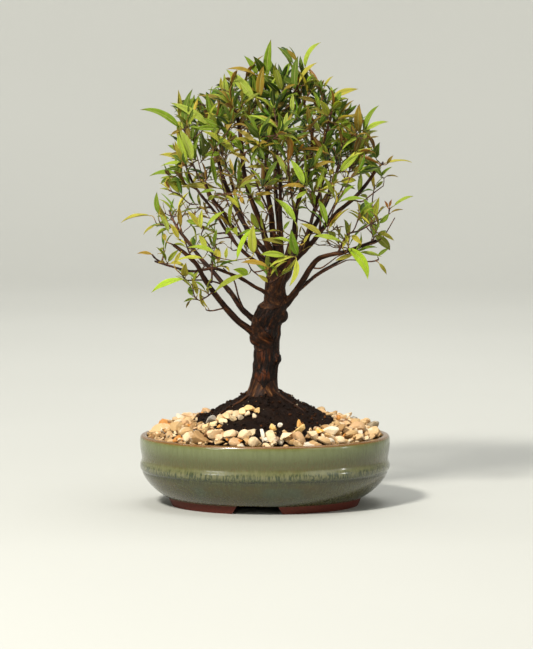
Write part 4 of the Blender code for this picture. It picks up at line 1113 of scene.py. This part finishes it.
def build_gravel(sizes):
    """A bed of loose chips round the mound, in four piles so that each stays a light mesh."""
    rng = random.Random(5)
    shapes = [chip_shape(rng, rng.choice((6, 7, 9)), 1.0) for _ in range(20)]
    finish = gravel_finish()
    piles = {name: Shell() for name in ("gravel_front_left", "gravel_front_right", "gravel_back_left", "gravel_back_right")}
    chosen = [(x * MM, y * MM, max(reach) * 0.55 * MM) for x, y, _, *reach, _, _, _ in CHOSEN_STONES]
    ring = (GRAVEL_INNER * 0.9, POT_HALF - RIM_WALL)
    low = scatter(rng, 1600, *ring, (3.8, 4.8, 5.6), 0.68, [], 0.0)
    high = scatter(rng, 4200, *ring, (3.0, 3.8, 4.8, 5.8, 6.4), 0.70, chosen, 1.0 * MM)
    fill = scatter(rng, 900, *ring, (1.4, 1.8, 2.4), 0.9, chosen, 4.0 * MM)
    grow = sizes.stone_size

    def lay(x, y, lift, reach, turn, colour):
        """Rest one stone on the bed, in the pile for its quarter."""
        name = f"gravel_{'front' if y < 0 else 'back'}_{'left' if x < 0 else 'right'}"
        middle = Vector((x, y, bed_height(x, y) + lift))
        add_chip(piles[name], rng.choice(shapes), middle, [r * grow for r in reach], turn, colour)

    for layer, lift in ((low, -2.6 * MM), (high, 0.2 * MM), (fill, 1.2 * MM)):
        for x, y, size in layer:
            reach = (size * rng.uniform(1.0, 1.45), size * rng.uniform(0.75, 1.0), size * rng.uniform(0.6, 0.85))
            lay(x, y, lift + rng.uniform(-0.6, 0.8) * MM, reach, any_turn(rng, 0.7), rng.choice(STONES))
    for x, y, lift, along, across, up, yaw, lean, colour in CHOSEN_STONES:
        turn = Matrix.Rotation(-lean, 3, "Y") @ Matrix.Rotation(yaw, 3, "Z")
        lay(x * MM, y * MM, lift * MM, [along * MM, across * MM, up * MM], turn, colour)
    for x, y, size, colour in DRIFT_STONES:
        lift = soil_height(x * MM, y * MM) + 0.4 * size * MM - bed_height(x * MM, y * MM)
        lay(x * MM, y * MM, lift, [1.15 * size * MM, 0.9 * size * MM, 0.8 * size * MM], any_turn(rng, 0.6), colour)
    for name, shell in piles.items():
        hand_over(shell.piece(name, [finish], smooth=False), "gravel", "gravel_bed")


# ---------------------------------------------------------------- the tree


class Skeleton:
    """Where the limbs run, so that each twig and leaf stem can find the limb that it grows from."""

    def __init__(self):
        self.points = []
        self.headings = []
        self.radii = []

    def add(self, points, radii):
        self.points.extend(points)
        self.headings.extend(tangents(points))
        self.radii.extend(radii)

    def parent(self, target, thickest):
        """The best place for a stem to leave its parent on the way to a target."""
        spots = np.array(self.points)
        headings = np.array(self.headings)
        away = np.array(target) - spots
        reach = np.linalg.norm(away, axis=1) + 1e-6
        leaning = 1.0 - np.sum(away * headings, axis=1) / reach
        cost = reach * (1.0 + 0.7 * leaning) + 1.5 * np.maximum(0.0, -away[:, 2])
        cost += np.where(np.array(self.radii) > thickest, 1.0, 0.0)
        return int(np.argmin(cost))

    def stem(self, target, ending, thickest):
        """Points of a stem that leaves its parent gently and arrives at a target with a heading."""
        index = self.parent(target, thickest)
        start = self.points[index]
        reach = (target - start).length
        leaving = (self.headings[index] * 0.6 + (target - start).normalized()).normalized()
        first = start + leaving * (0.35 * reach)
        second = target - ending * (0.35 * reach)
        count = max(3, round(reach / (3.0 * MM)))
        run = []
        for i in range(count + 1):
            t = i / count
            rest = 1 - t
            run.append(
                start * rest**3 + first * (3 * t * rest**2) + second * (3 * t * t * rest) + target * t**3)
        return run, self.radii[index]


class Leaf:
    """One leaf: where it starts and ends, how wide it is, which way it faces and how it bends."""

    def __init__(self, base, tip, width, face, arch, kind, chance):
        self.base = base
        self.tip = tip
        self.width = width
        self.face = face
        self.arch = arch
        self.kind = kind
        self.chance = chance


def limb_radii(places, first, last, count):
    """Radius at each place of a run, which thins soon after it leaves its parent."""
    radii = []
    for place in places:
        taper = (place / (count - 1)) ** 0.5
        radii.append((first + (last - first) * taper) * MM)
    return radii


def limb_run(route, first, last, step):
    spots = flowing([place_on_tree(*point) for point in route], step)
    return [spot for spot, _ in spots], limb_radii([place for _, place in spots], first, last, len(route))


def hugging(point, radius):
    """A point of a surface root, lowered onto the mound."""
    across = half_width(point.x, point.y)
    ground = reading(soil_stations(), across) + 0.4 * radius
    return Vector((point.x, point.y, min(point.z, ground + 0.6 * max(0.0, 15.0 * MM - across))))


LEAF_SLIMNESS = 0.82


def front_leaf(row, rng):
    """A leaf that lines up with its measured place from the front and has a natural real length."""
    x0, z0, x1, z1, seen, kind, depth = row[:7]
    bend = row[7] if len(row) > 7 else 0.05
    seen *= LEAF_SLIMNESS
    base = eye_line(x0, z0, depth)
    flat = (eye_line(x1, z1, depth) - base).length
    length = max(flat, min(26.0 * MM, 3.4 * seen * MM, 1.8 * flat))
    width = max(seen * MM, min(6.0 * MM, 0.24 * length))
    slip = math.sqrt(max(0.0, length**2 - flat**2)) / MM
    tip = eye_line(x1, z1, depth + slip * rng.choice((-1.0, -1.0, 1.0)) + rng.uniform(-2.0, 2.0))
    heading = (tip - base).normalized()
    toward = (EYE - base).normalized()
    face = (toward - heading * toward.dot(heading)).normalized()
    across = heading.cross(face)
    if across.z < 0.0:
        across.negate()
    roll = math.acos(min(1.0, seen * MM / width))
    face = face * math.cos(roll) + across * math.sin(roll)
    arch = across if abs(heading.x) > 0.3 else across * (1.0 if across.x < 0.0 else -1.0)
    return Leaf(base, tip, width, face, arch * bend, kind, rng.random())


def inside_outline(spot, share):
    """Whether a place lies within a share of the crown's outline from the front."""
    z = (spot.z - ROOT_CROWN + MEASURED_CROWN) / MM
    if z < CROWN_OUTLINE[0][0] or z > CROWN_OUTLINE[-1][0]:
        return False
    for (z0, left0, right0), (z1, left1, right1) in zip(CROWN_OUTLINE, CROWN_OUTLINE[1:]):
        if z0 <= z <= z1:
            t = (z - z0) / (z1 - z0)
            left = left0 + (left1 - left0) * t
            right = right0 + (right1 - right0) * t
            middle = (left + right) / 2
            half = (right - left) / 2 * share
            return abs(spot.x / MM - middle) < half and abs(spot.y) < 86.0 * MM
    return False


def whorl_leaves(spot, heading, count, rng, mix, length, turn):
    """A ring of leaves that spread from one node of a twig."""
    side = heading.orthogonal().normalized()
    leaves = []
    for i in range(count):
        angle = turn + 2.0 * math.pi * i / count + rng.uniform(-0.4, 0.4)
        out = Matrix.Rotation(angle, 3, heading) @ side
        lift = rng.uniform(0.5, 2.0)
        aim = (out + heading * lift + Vector((0.0, 0.0, rng.uniform(-0.25, 0.35)))).normalized()
        real = length * rng.uniform(0.72, 1.15)
        stalk = rng.uniform(1.5, 3.5) * MM
        base = spot + aim * stalk
        tip = base + aim * real
        reach = 0.97 if tip.z < 325.0 * MM else 0.88
        if not inside_outline(tip, reach):
            tip = base + aim * real * 0.6
        if not inside_outline(tip, reach + 0.03):
            continue
        face = (heading - aim * heading.dot(aim) + Vector((0.0, 0.0, 0.5))).normalized()
        face = (Matrix.Rotation(rng.gauss(0.0, 0.45), 3, aim) @ face).normalized()
        leaves.append(Leaf(base, tip, real * rng.uniform(0.18, 0.25), face, face * rng.uniform(0.0, 0.12),
                           rng.choice(mix), rng.random()))
    return leaves


@functools.lru_cache(maxsize=1)
def tree_plan():
    """Every limb, twig and leaf of the tree, worked out once for the wood, twigs and leaves."""
    rng = random.Random(17)
    wood = Skeleton()
    limbs = []
    trunk_spots = flowing([place_on_tree(x, y, z) for x, y, z, _ in TRUNK], 1.0 * MM)
    girths = [row[3] for row in TRUNK]
    trunk_radii = [np.interp(place, range(len(TRUNK)), girths) * MM for _, place in trunk_spots]
    limbs.append(([spot for spot, _ in trunk_spots], trunk_radii))
    for _, first, last, route in ROOTS:
        points, radii = limb_run(route, first, last, 1.0 * MM)
        limbs.append(([hugging(point, radius) for point, radius in zip(points, radii)], radii))
    for _, first, last, route in BOUGHS:
        limbs.append(limb_run(route, first, last, 1.0 * MM))
        wood.add(*limbs[-1])
    twigs = []
    for first, last, route in FREE_TWIGS:
        points, radii = limb_run(route, first, last, 1.5 * MM)
        points.insert(0, min(wood.points, key=lambda at: (at - points[0]).length).copy())
        radii = [radii[0]] + list(radii)
        twigs.append((points, radii, 0.0, "brown"))
        wood.add(points, radii)
    leaves = {name: [] for name, _, _, _ in SHOOTS}
    for name, _, _, whorl in SHOOTS:
        heroes = [front_leaf(row, rng) for row in LEAVES.get(name, [])]
        centre = place_on_tree(*whorl)
        if heroes:
            bases = [leaf.base for leaf in heroes]
            near = sorted(bases, key=lambda base: (base - centre).length)[:max(3, len(bases) // 2)]
            centre = sum(near, Vector()) / len(near)
        index = wood.parent(centre, 9.0 * MM)
        ending = ((centre - wood.points[index]).normalized() + Vector((0.0, 0.0, 0.5))).normalized()
        points, parent = wood.stem(centre, ending, 9.0 * MM)
        radii = list(np.linspace(min(0.8 * parent, 1.15 * MM), 0.65 * MM, len(points)))
        twigs.append((points, radii, 0.0, "brown"))
        wood.add(points, radii)
        for leaf in sorted(heroes, key=lambda leaf: (leaf.base - centre).length):
            aim = (leaf.tip - leaf.base).normalized()
            points, parent = wood.stem(leaf.base, aim, 3.0 * MM)
            reach = (points[-1] - points[0]).length
            thick = 0.75 if reach > 8.0 * MM else 0.5
            radii = list(np.linspace(min(0.85 * parent, thick * MM), 0.36 * MM, len(points)))
            twigs.append((points, radii, 1.0, leaf.kind))
            if reach > 5.0 * MM:
                wood.add(points[:-1], radii[:-1])
            leaves[name].append(leaf)
    fill_crown(rng, wood, twigs, leaves)
    return limbs, twigs, leaves


BUD_COUNT = 170
BUD_MIX = ("rust", "brown", "olive_brown")


def fill_crown(rng, wood, twigs, leaves):
    """Whorls behind and between the outer leaves: dense at the top, sparse in the skirt."""
    nodes = []
    for name, _, _, whorl in SHOOTS:
        centre = place_on_tree(*whorl)
        high = centre.z > 285.0 * MM
        behind = centre.y > 0.0
        spread = 9 if high else (6 if behind else 2)
        if name not in LEAVES:
            nodes.append((name, centre))
        for _ in range(spread):
            nudge = Vector((rng.gauss(0, 13), rng.gauss(3, 13), rng.gauss(-2, 10))) * MM
            if not high:
                nudge.y = abs(nudge.y) * (1.0 if centre.y > -20 * MM else 0.4)
            nodes.append((name, centre + nudge))
    for _ in range(90):
        spot = place_on_tree(rng.gauss(4, 40), rng.gauss(4, 30), rng.uniform(236, 325))
        name = min(SHOOTS, key=lambda row: (place_on_tree(*row[3]) - spot).length)[0]
        nodes.append((name, spot))
    for name, spot in nodes:
        if not inside_outline(spot, 0.80 if spot.z > 300.0 * MM else 0.9):
            continue
        high = spot.z > 255.0 * MM
        index = wood.parent(spot, 5.0 * MM)
        away = spot - wood.points[index]
        if away.length < 4.0 * MM or away.length > 42.0 * MM:
            continue
        out = Vector((spot.x, spot.y, 0.0)) * 4.0
        ending = (away.normalized() + out + Vector((0.0, 0.0, 0.5))).normalized()
        points, parent = wood.stem(spot, ending, 5.0 * MM)
        radii = list(np.linspace(min(0.8 * parent, 0.9 * MM), 0.5 * MM, len(points)))
        twigs.append((points, radii, 0.3, "rust"))
        wood.add(points, radii)
        mix = CROWN_MIX if high else SKIRT_MIX
        length = rng.uniform(15.0, 22.0) * MM
        turn = rng.uniform(0.0, math.pi)
        for level in range(2):
            at = points[-1] if level == 0 else points[max(0, len(points) - 2)]
            for leaf in whorl_leaves(at, ending, 3 if high else 2, rng, mix, length, turn + level * 0.9):
                leaves[name].append(leaf)
                twigs.append(([at, leaf.base], [0.42 * MM, 0.34 * MM], 1.0, leaf.kind))
    for _ in range(BUD_COUNT):
        spot = place_on_tree(rng.gauss(6, 40), rng.gauss(-2, 24), rng.uniform(200, 300))
        index = wood.parent(spot, 4.0 * MM)
        away = spot - wood.points[index]
        if not inside_outline(spot, 0.9) or away.length < 5.0 * MM or away.length > 34.0 * MM:
            continue
        name = min(SHOOTS, key=lambda row: (place_on_tree(*row[3]) - spot).length)[0]
        ending = (away.normalized() + Vector((0.0, 0.0, 0.6))).normalized()
        points, parent = wood.stem(spot, ending, 4.0 * MM)
        radii = list(np.linspace(min(0.7 * parent, 0.7 * MM), 0.36 * MM, len(points)))
        twigs.append((points, radii, 0.2, "rust"))
        wood.add(points, radii)
        for leaf in whorl_leaves(points[-1], ending, 3, rng, BUD_MIX, rng.uniform(6.0, 10.0) * MM, 0.0):
            leaves[name].append(leaf)
            twigs.append(([points[-1], leaf.base], [0.36 * MM, 0.3 * MM], 1.0, leaf.kind))


def build_wood():
    """Trunk, burls, roots and boughs grown together in one piece, with ridged bark."""
    limbs, _, _ = tree_plan()
    shell = Shell()
    for index, (points, radii) in enumerate(limbs):
        knuckled = list(radii)
        if index > 0:
            for i in range(len(radii)):
                beat = noise.noise(Vector((i * 0.16, index * 7.3, 0.0)))
                knuckled[i] = radii[i] * (1.0 + 0.26 * max(0.0, beat - 0.1))
        tube(shell, points, knuckled, 20 if index == 0 else 12)
    for x, y, z, radius in BURLS:
        ball = bmesh.new()
        bmesh.ops.create_icosphere(ball, subdivisions=3, radius=radius * MM)
        middle = place_on_tree(x, y, z)
        points = [vert.co + middle for vert in ball.verts]
        shell.add(points, [tuple(vert.index for vert in face.verts) for face in ball.faces])
        ball.free()
    wood = facing_out(shell.piece("tree_wood", [bark_finish()]))
    remesh = wood.modifiers.new("fuse", "REMESH")
    remesh.mode = "VOXEL"
    remesh.voxel_size = BARK_VOXEL
    settled(wood)
    relax = wood.modifiers.new("relax", "SMOOTH")
    relax.iterations = 2
    settled(wood)
    ridge_bark(wood, limbs)
    for polygon in wood.data.polygons:
        polygon.use_smooth = True
    names = ["trunk"] + [row[0] for row in ROOTS + BOUGHS]
    hand_over(wood, "bark", *names)


def ridge_bark(wood, limbs):
    """Push the bark out in ridges along each limb, and note its grain and girth on the points."""
    samples = []
    for index, (points, radii) in enumerate(limbs):
        run = 0.0
        for i, (point, heading) in enumerate(zip(points, tangents(points))):
            if i > 0:
                run += (point - points[i - 1]).length
            samples.append((point, heading, radii[i], run, index))
    tree = KDTree(len(samples))
    for i, sample in enumerate(samples):
        tree.insert(sample[0], i)
    tree.balance()
    grains = []
    girths = []
    moved = []
    spots = [vert.co.copy() for vert in wood.data.vertices]
    normals = [vert.normal.copy() for vert in wood.data.vertices]
    for spot, normal in zip(spots, normals):
        _, nearest, _ = tree.find(spot)
        point, heading, radius, run, index = samples[nearest]
        offset = spot - point
        rise = offset.dot(heading)
        radial = offset - heading * rise
        grain = radial + Vector((0.03 * index, 0.0, (run + rise) * 0.22))
        grains.append(tuple(grain))
        girths.append(min(1.0, radius / (9.0 * MM)))
        where = grain / (2.2 * MM)
        ridge = noise.noise(where) + 0.5 * noise.noise(where * 2.3)
        knob = noise.noise(spot / (7.0 * MM))
        moved.append(spot + normal * (ridge * (0.055 * radius + 0.03 * MM) + knob * 0.07 * radius))
    wood.data.vertices.foreach_set("co", np.array(moved, dtype=np.float32).ravel())
    wood.data.update()
    write_note(wood.data, "grain", grains)
    write_note(wood.data, "girth", girths)


def build_twigs():
    """The thin twigs and the leaf stems, as one piece of wood."""
    _, twigs, _ = tree_plan()
    shell = Shell()
    for points, radii, young, kind in twigs:
        colour = opaque(mingled(LEAF_COLOURS[kind], (134, 96, 44), 0.45))
        youth = [young * (0.25 + 0.75 * i / (len(points) - 1)) for i in range(len(points))]
        knuckled = [r * (1.0 + 0.16 * (i % 2)) if len(points) > 4 else r for i, r in enumerate(radii)]
        tube(shell, points, knuckled, 6, young=youth, tint=[colour] * len(points))
    hand_over(shell.piece("twigs", [twig_finish()]), "bark")


def mingled(first, second, share):
    return tuple(a + (b - a) * share for a, b in zip(first, second))


LEAF_STATIONS = 10
BLADE_ACROSS = (-1.0, -0.55, 0.0, 0.55, 1.0)


def blade_outline(t):
    """Half-width of a leaf at a share of its length, against its widest place."""
    return 3.4 * (t + 0.004) ** 0.75 * max(0.0, 1.0 - t) ** 1.05


def add_leaf(shell, leaf, sizes):
    """A lance-shaped blade with a keel along its midrib, a bend and slightly wavy margins."""
    axis = leaf.tip - leaf.base
    length = axis.length
    across = axis.cross(leaf.face).normalized()
    arch = leaf.arch * length
    swing = (leaf.chance - 0.5) * 0.9
    keel = 0.25 + 0.40 * ((leaf.chance * 7.0) % 1.0)
    points = []
    blades = []
    for i in range(LEAF_STATIONS + 1):
        t = i / LEAF_STATIONS
        middle = leaf.base + axis * t + arch * (4.0 * t * (1.0 - t))
        along = (axis + arch * (4.0 - 8.0 * t)).normalized()
        side = (across - along * across.dot(along)).normalized()
        side = Matrix.Rotation(swing * (t - 0.4), 3, along) @ side
        up = side.cross(along)
        half = 0.5 * leaf.width * blade_outline(t)
        curl = -0.06 * length * max(0.0, t - 0.6) ** 2 * 4.0
        for u in BLADE_ACROSS:
            wave = 0.10 * half * math.sin(9.0 * t + 5.0 * leaf.chance + 1.5 * u) * abs(u)
            lift = keel * half * abs(u) ** 1.4 + wave + curl
            points.append(middle + side * (u * half) + up * lift)
            blades.append((t, u, leaf.chance))
    width = len(BLADE_ACROSS)
    faces = []
    for i in range(LEAF_STATIONS):
        for j in range(width - 1):
            a = i * width + j
            faces.append((a, a + width, a + width + 1, a + 1))
    shade = 0.72 + 0.46 * ((leaf.chance * 13.0) % 1.0)
    hue = ((leaf.chance * 29.0) % 1.0 - 0.5) * 24.0
    red, green, blue = LEAF_COLOURS[leaf.kind]
    upper = [c * shade * gain for c, gain in zip(daylight(red + hue, green + 0.3 * hue, max(0, blue)), sizes.leaf_tone)]
    under = [c * gain for c, gain in zip(daylight(*mingled((red, green, blue), (150, 156, 90), 0.4)), sizes.leaf_tone)]
    notes = {
        "blade": blades,
        "upper": [(*[min(1.0, c) for c in upper], 1.0)] * len(points),
        "under": [(*under, 1.0)] * len(points),
    }
    shell.add(points, faces, **notes)


def build_leaves(sizes):
    """One piece of foliage for each shoot, every leaf with an upper face and an underside."""
    _, _, leaves = tree_plan()
    upper = leaf_finish("leaf_upper", "upper", 0.35 * MM, 0.30, 0.42)
    under = leaf_finish("leaf_underside", "under", 0.5 * MM, 0.55, 0.2)
    for name, own in leaves.items():
        shell = Shell()
        for leaf in own:
            add_leaf(shell, leaf, sizes)
        if not own:
            raise RuntimeError(f"no leaves were grown on {name}")
        piece = shell.piece(name.replace("shoot", "foliage"), [upper, under])
        thick = piece.modifiers.new("thickness", "SOLIDIFY")
        thick.thickness = LEAF_THICKNESS
        thick.offset = -1.0
        thick.material_offset = 1
        thick.material_offset_rim = 1
        hand_over(settled(piece), "leaf", name)


# ---------------------------------------------------------------- stage


def aimed(obj, target):
    obj.rotation_euler = (target - obj.location).to_track_quat("-Z", "Y").to_euler()
    return obj


def lamp(name, place, target, size, power, colour=(1.0, 1.0, 1.0)):
    data = bpy.data.lights.new(name, "AREA")
    data.shape = "RECTANGLE"
    data.size, data.size_y = size
    data.energy = power
    data.color = colour
    obj = bpy.data.objects.new(name, data)
    obj.location = place
    bpy.context.scene.collection.objects.link(obj)
    return aimed(obj, Vector(target))


def build_stage(sizes):
    """Round pale floor that curves up into a wall on every side, soft lights and the camera."""
    reach = 3.4
    bend = 1.2
    steps = 72
    section = [(0.5, 0.0), (1.2, 0.0), (reach - bend, 0.0)]
    for i in range(1, 15):
        angle = 0.5 * math.pi * i / 14
        section.append((reach - bend + bend * math.sin(angle), bend - bend * math.cos(angle)))
    section.append((reach, 3.0))
    points = [Vector((0.0, 0.0, 0.0))]
    for radius, z in section:
        for i in range(steps):
            angle = 2.0 * math.pi * i / steps
            points.append(Vector((radius * math.cos(angle), radius * math.sin(angle), z)))
    faces = [(0, 1 + i, 1 + (i + 1) % steps) for i in range(steps)]
    for ring in range(len(section) - 1):
        for i in range(steps):
            j = (i + 1) % steps
            here = 1 + ring * steps
            faces.append((here + i, here + steps + i, here + steps + j, here + j))
    shell = Shell()
    shell.add(points, faces)
    shell.piece("backdrop", [studio_finish()])

    crown = (0.0, 0.0, 0.2)
    lamp("key", (-1.0, -1.6, 1.9), crown, (0.34, 0.34), 90.0 * sizes.light, (1.0, 0.975, 0.92))
    lamp("fill", (1.7, -1.6, 0.9), crown, (1.2, 1.2), 5.0 * sizes.light, (0.97, 0.985, 1.0))
    lamp("top", (0.2, 0.1, 2.0), crown, (1.2, 1.2), 17.0 * sizes.light)
    lamp("strip", (-0.98, -1.20, 0.52), (0.0, -0.08, 0.03), (0.44, 0.16), 2.6 * sizes.light)
    lamp("wash", (0.0, 0.9, 2.3), (0.0, 3.3, 0.5), (3.0, 0.4), 56.0 * sizes.light)
    lamp("pane", (1.30, -0.55, 0.26), (0.06, -0.06, 0.04), (0.10, 0.14), 1.4 * sizes.light)
    world = bpy.data.worlds.new("studio_air")
    world.use_nodes = True
    world.node_tree.nodes["Background"].inputs["Color"].default_value = (0.93, 0.95, 1.0, 1.0)
    world.node_tree.nodes["Background"].inputs["Strength"].default_value = 0.30 * sizes.light
    bpy.context.scene.world = world
    bpy.context.scene.view_settings.view_transform = "Standard"

    data = bpy.data.cameras.new("view")
    data.lens = LENS
    data.sensor_width = 36.0
    camera = bpy.data.objects.new("view", data)
    camera.location = EYE
    bpy.context.scene.collection.objects.link(camera)
    aimed(camera, AIM)
    bpy.context.scene.camera = camera


# ---------------------------------------------------------------- add-on


class BONSAI_PG_sizes(bpy.types.PropertyGroup):
    """Sizes and colours of the tree, its pot and the studio."""

    lip_colour: bpy.props.FloatVectorProperty(
        name="Lip Colour", description="Where the glaze runs thin on the lip, out of 255",
        default=(112.0, 74.0, 24.0), min=0.0, max=255.0, size=3)
    leaf_tone: bpy.props.FloatVectorProperty(
        name="Leaf Tone", description="Red, green and blue gain on every leaf",
        default=(1.0, 1.0, 0.6), min=0.0, soft_max=2.0, size=3)
    stone_size: bpy.props.FloatProperty(
        name="Stone Size", description="Size of each gravel chip against the usual one",
        default=1.0, min=0.5, max=1.5, subtype="FACTOR")
    light: bpy.props.FloatProperty(
        name="Light", description="Strength of the studio lights",
        default=1.0, min=0.0, soft_max=3.0, subtype="FACTOR")


class BONSAI_OT_pot(bpy.types.Operator):
    """Build the glazed pot with its foot and drain holes"""

    bl_idname = "bonsai.pot"
    bl_label = "Pot"

    def execute(self, context):
        build_pot(context.scene.bonsai)
        return {"FINISHED"}


class BONSAI_OT_screens(bpy.types.Operator):
    """Finish the drain screens that lie over the holes"""

    bl_idname = "bonsai.screens"
    bl_label = "Drain Screens"

    def execute(self, context):
        finish = screen_finish()
        for name in ("drain_screen_left", "drain_screen_right"):
            for slot in frame["nodes"][name].material_slots:
                slot.material = finish
        return {"FINISHED"}


class BONSAI_OT_soil(bpy.types.Operator):
    """Build the soil and its mound"""

    bl_idname = "bonsai.soil"
    bl_label = "Soil"

    def execute(self, context):
        build_soil()
        return {"FINISHED"}


class BONSAI_OT_gravel(bpy.types.Operator):
    """Lay the gravel, stone by stone"""

    bl_idname = "bonsai.gravel"
    bl_label = "Gravel"

    def execute(self, context):
        build_gravel(context.scene.bonsai)
        return {"FINISHED"}


class BONSAI_OT_wood(bpy.types.Operator):
    """Grow the trunk, its roots and its boughs"""

    bl_idname = "bonsai.wood"
    bl_label = "Trunk and Boughs"

    def execute(self, context):
        build_wood()
        return {"FINISHED"}


class BONSAI_OT_twigs(bpy.types.Operator):
    """Grow the thin twigs and leaf stems"""

    bl_idname = "bonsai.twigs"
    bl_label = "Twigs"

    def execute(self, context):
        build_twigs()
        return {"FINISHED"}


class BONSAI_OT_leaves(bpy.types.Operator):
    """Grow the leaves of every shoot"""

    bl_idname = "bonsai.leaves"
    bl_label = "Leaves"

    def execute(self, context):
        build_leaves(context.scene.bonsai)
        return {"FINISHED"}


class BONSAI_OT_stage(bpy.types.Operator):
    """Set up the floor, the lights and the camera"""

    bl_idname = "bonsai.stage"
    bl_label = "Stage"

    def execute(self, context):
        build_stage(context.scene.bonsai)
        return {"FINISHED"}


OPERATORS = (
    BONSAI_OT_pot, BONSAI_OT_screens, BONSAI_OT_soil, BONSAI_OT_gravel,
    BONSAI_OT_wood, BONSAI_OT_twigs, BONSAI_OT_leaves, BONSAI_OT_stage,
)


class BONSAI_PT_build(bpy.types.Panel):
    """Lists the pieces in the order in which they are built"""

    bl_label = "Bonsai Tree"
    bl_idname = "BONSAI_PT_build"
    bl_space_type = "VIEW_3D"
    bl_region_type = "UI"
    bl_category = "Bonsai"

    def draw(self, context):
        sizes = context.scene.bonsai
        column = self.layout.column()
        for name in ("lip_colour", "leaf_tone", "stone_size", "light"):
            column.prop(sizes, name)
        for operator in OPERATORS:
            column.operator(operator.bl_idname)


CLASSES = (BONSAI_PG_sizes, *OPERATORS, BONSAI_PT_build)


def register():
    for cls in CLASSES:
        bpy.utils.register_class(cls)
    bpy.types.Scene.bonsai = bpy.props.PointerProperty(type=BONSAI_PG_sizes)


def unregister():
    del bpy.types.Scene.bonsai
    for cls in reversed(CLASSES):
        bpy.utils.unregister_class(cls)


def main():
    register()
    for operator in (
        bpy.ops.bonsai.pot, bpy.ops.bonsai.screens, bpy.ops.bonsai.soil, bpy.ops.bonsai.gravel,
        bpy.ops.bonsai.wood, bpy.ops.bonsai.twigs, bpy.ops.bonsai.leaves, bpy.ops.bonsai.stage,
    ):
        operator()


if __name__ == "__main__":
    main()
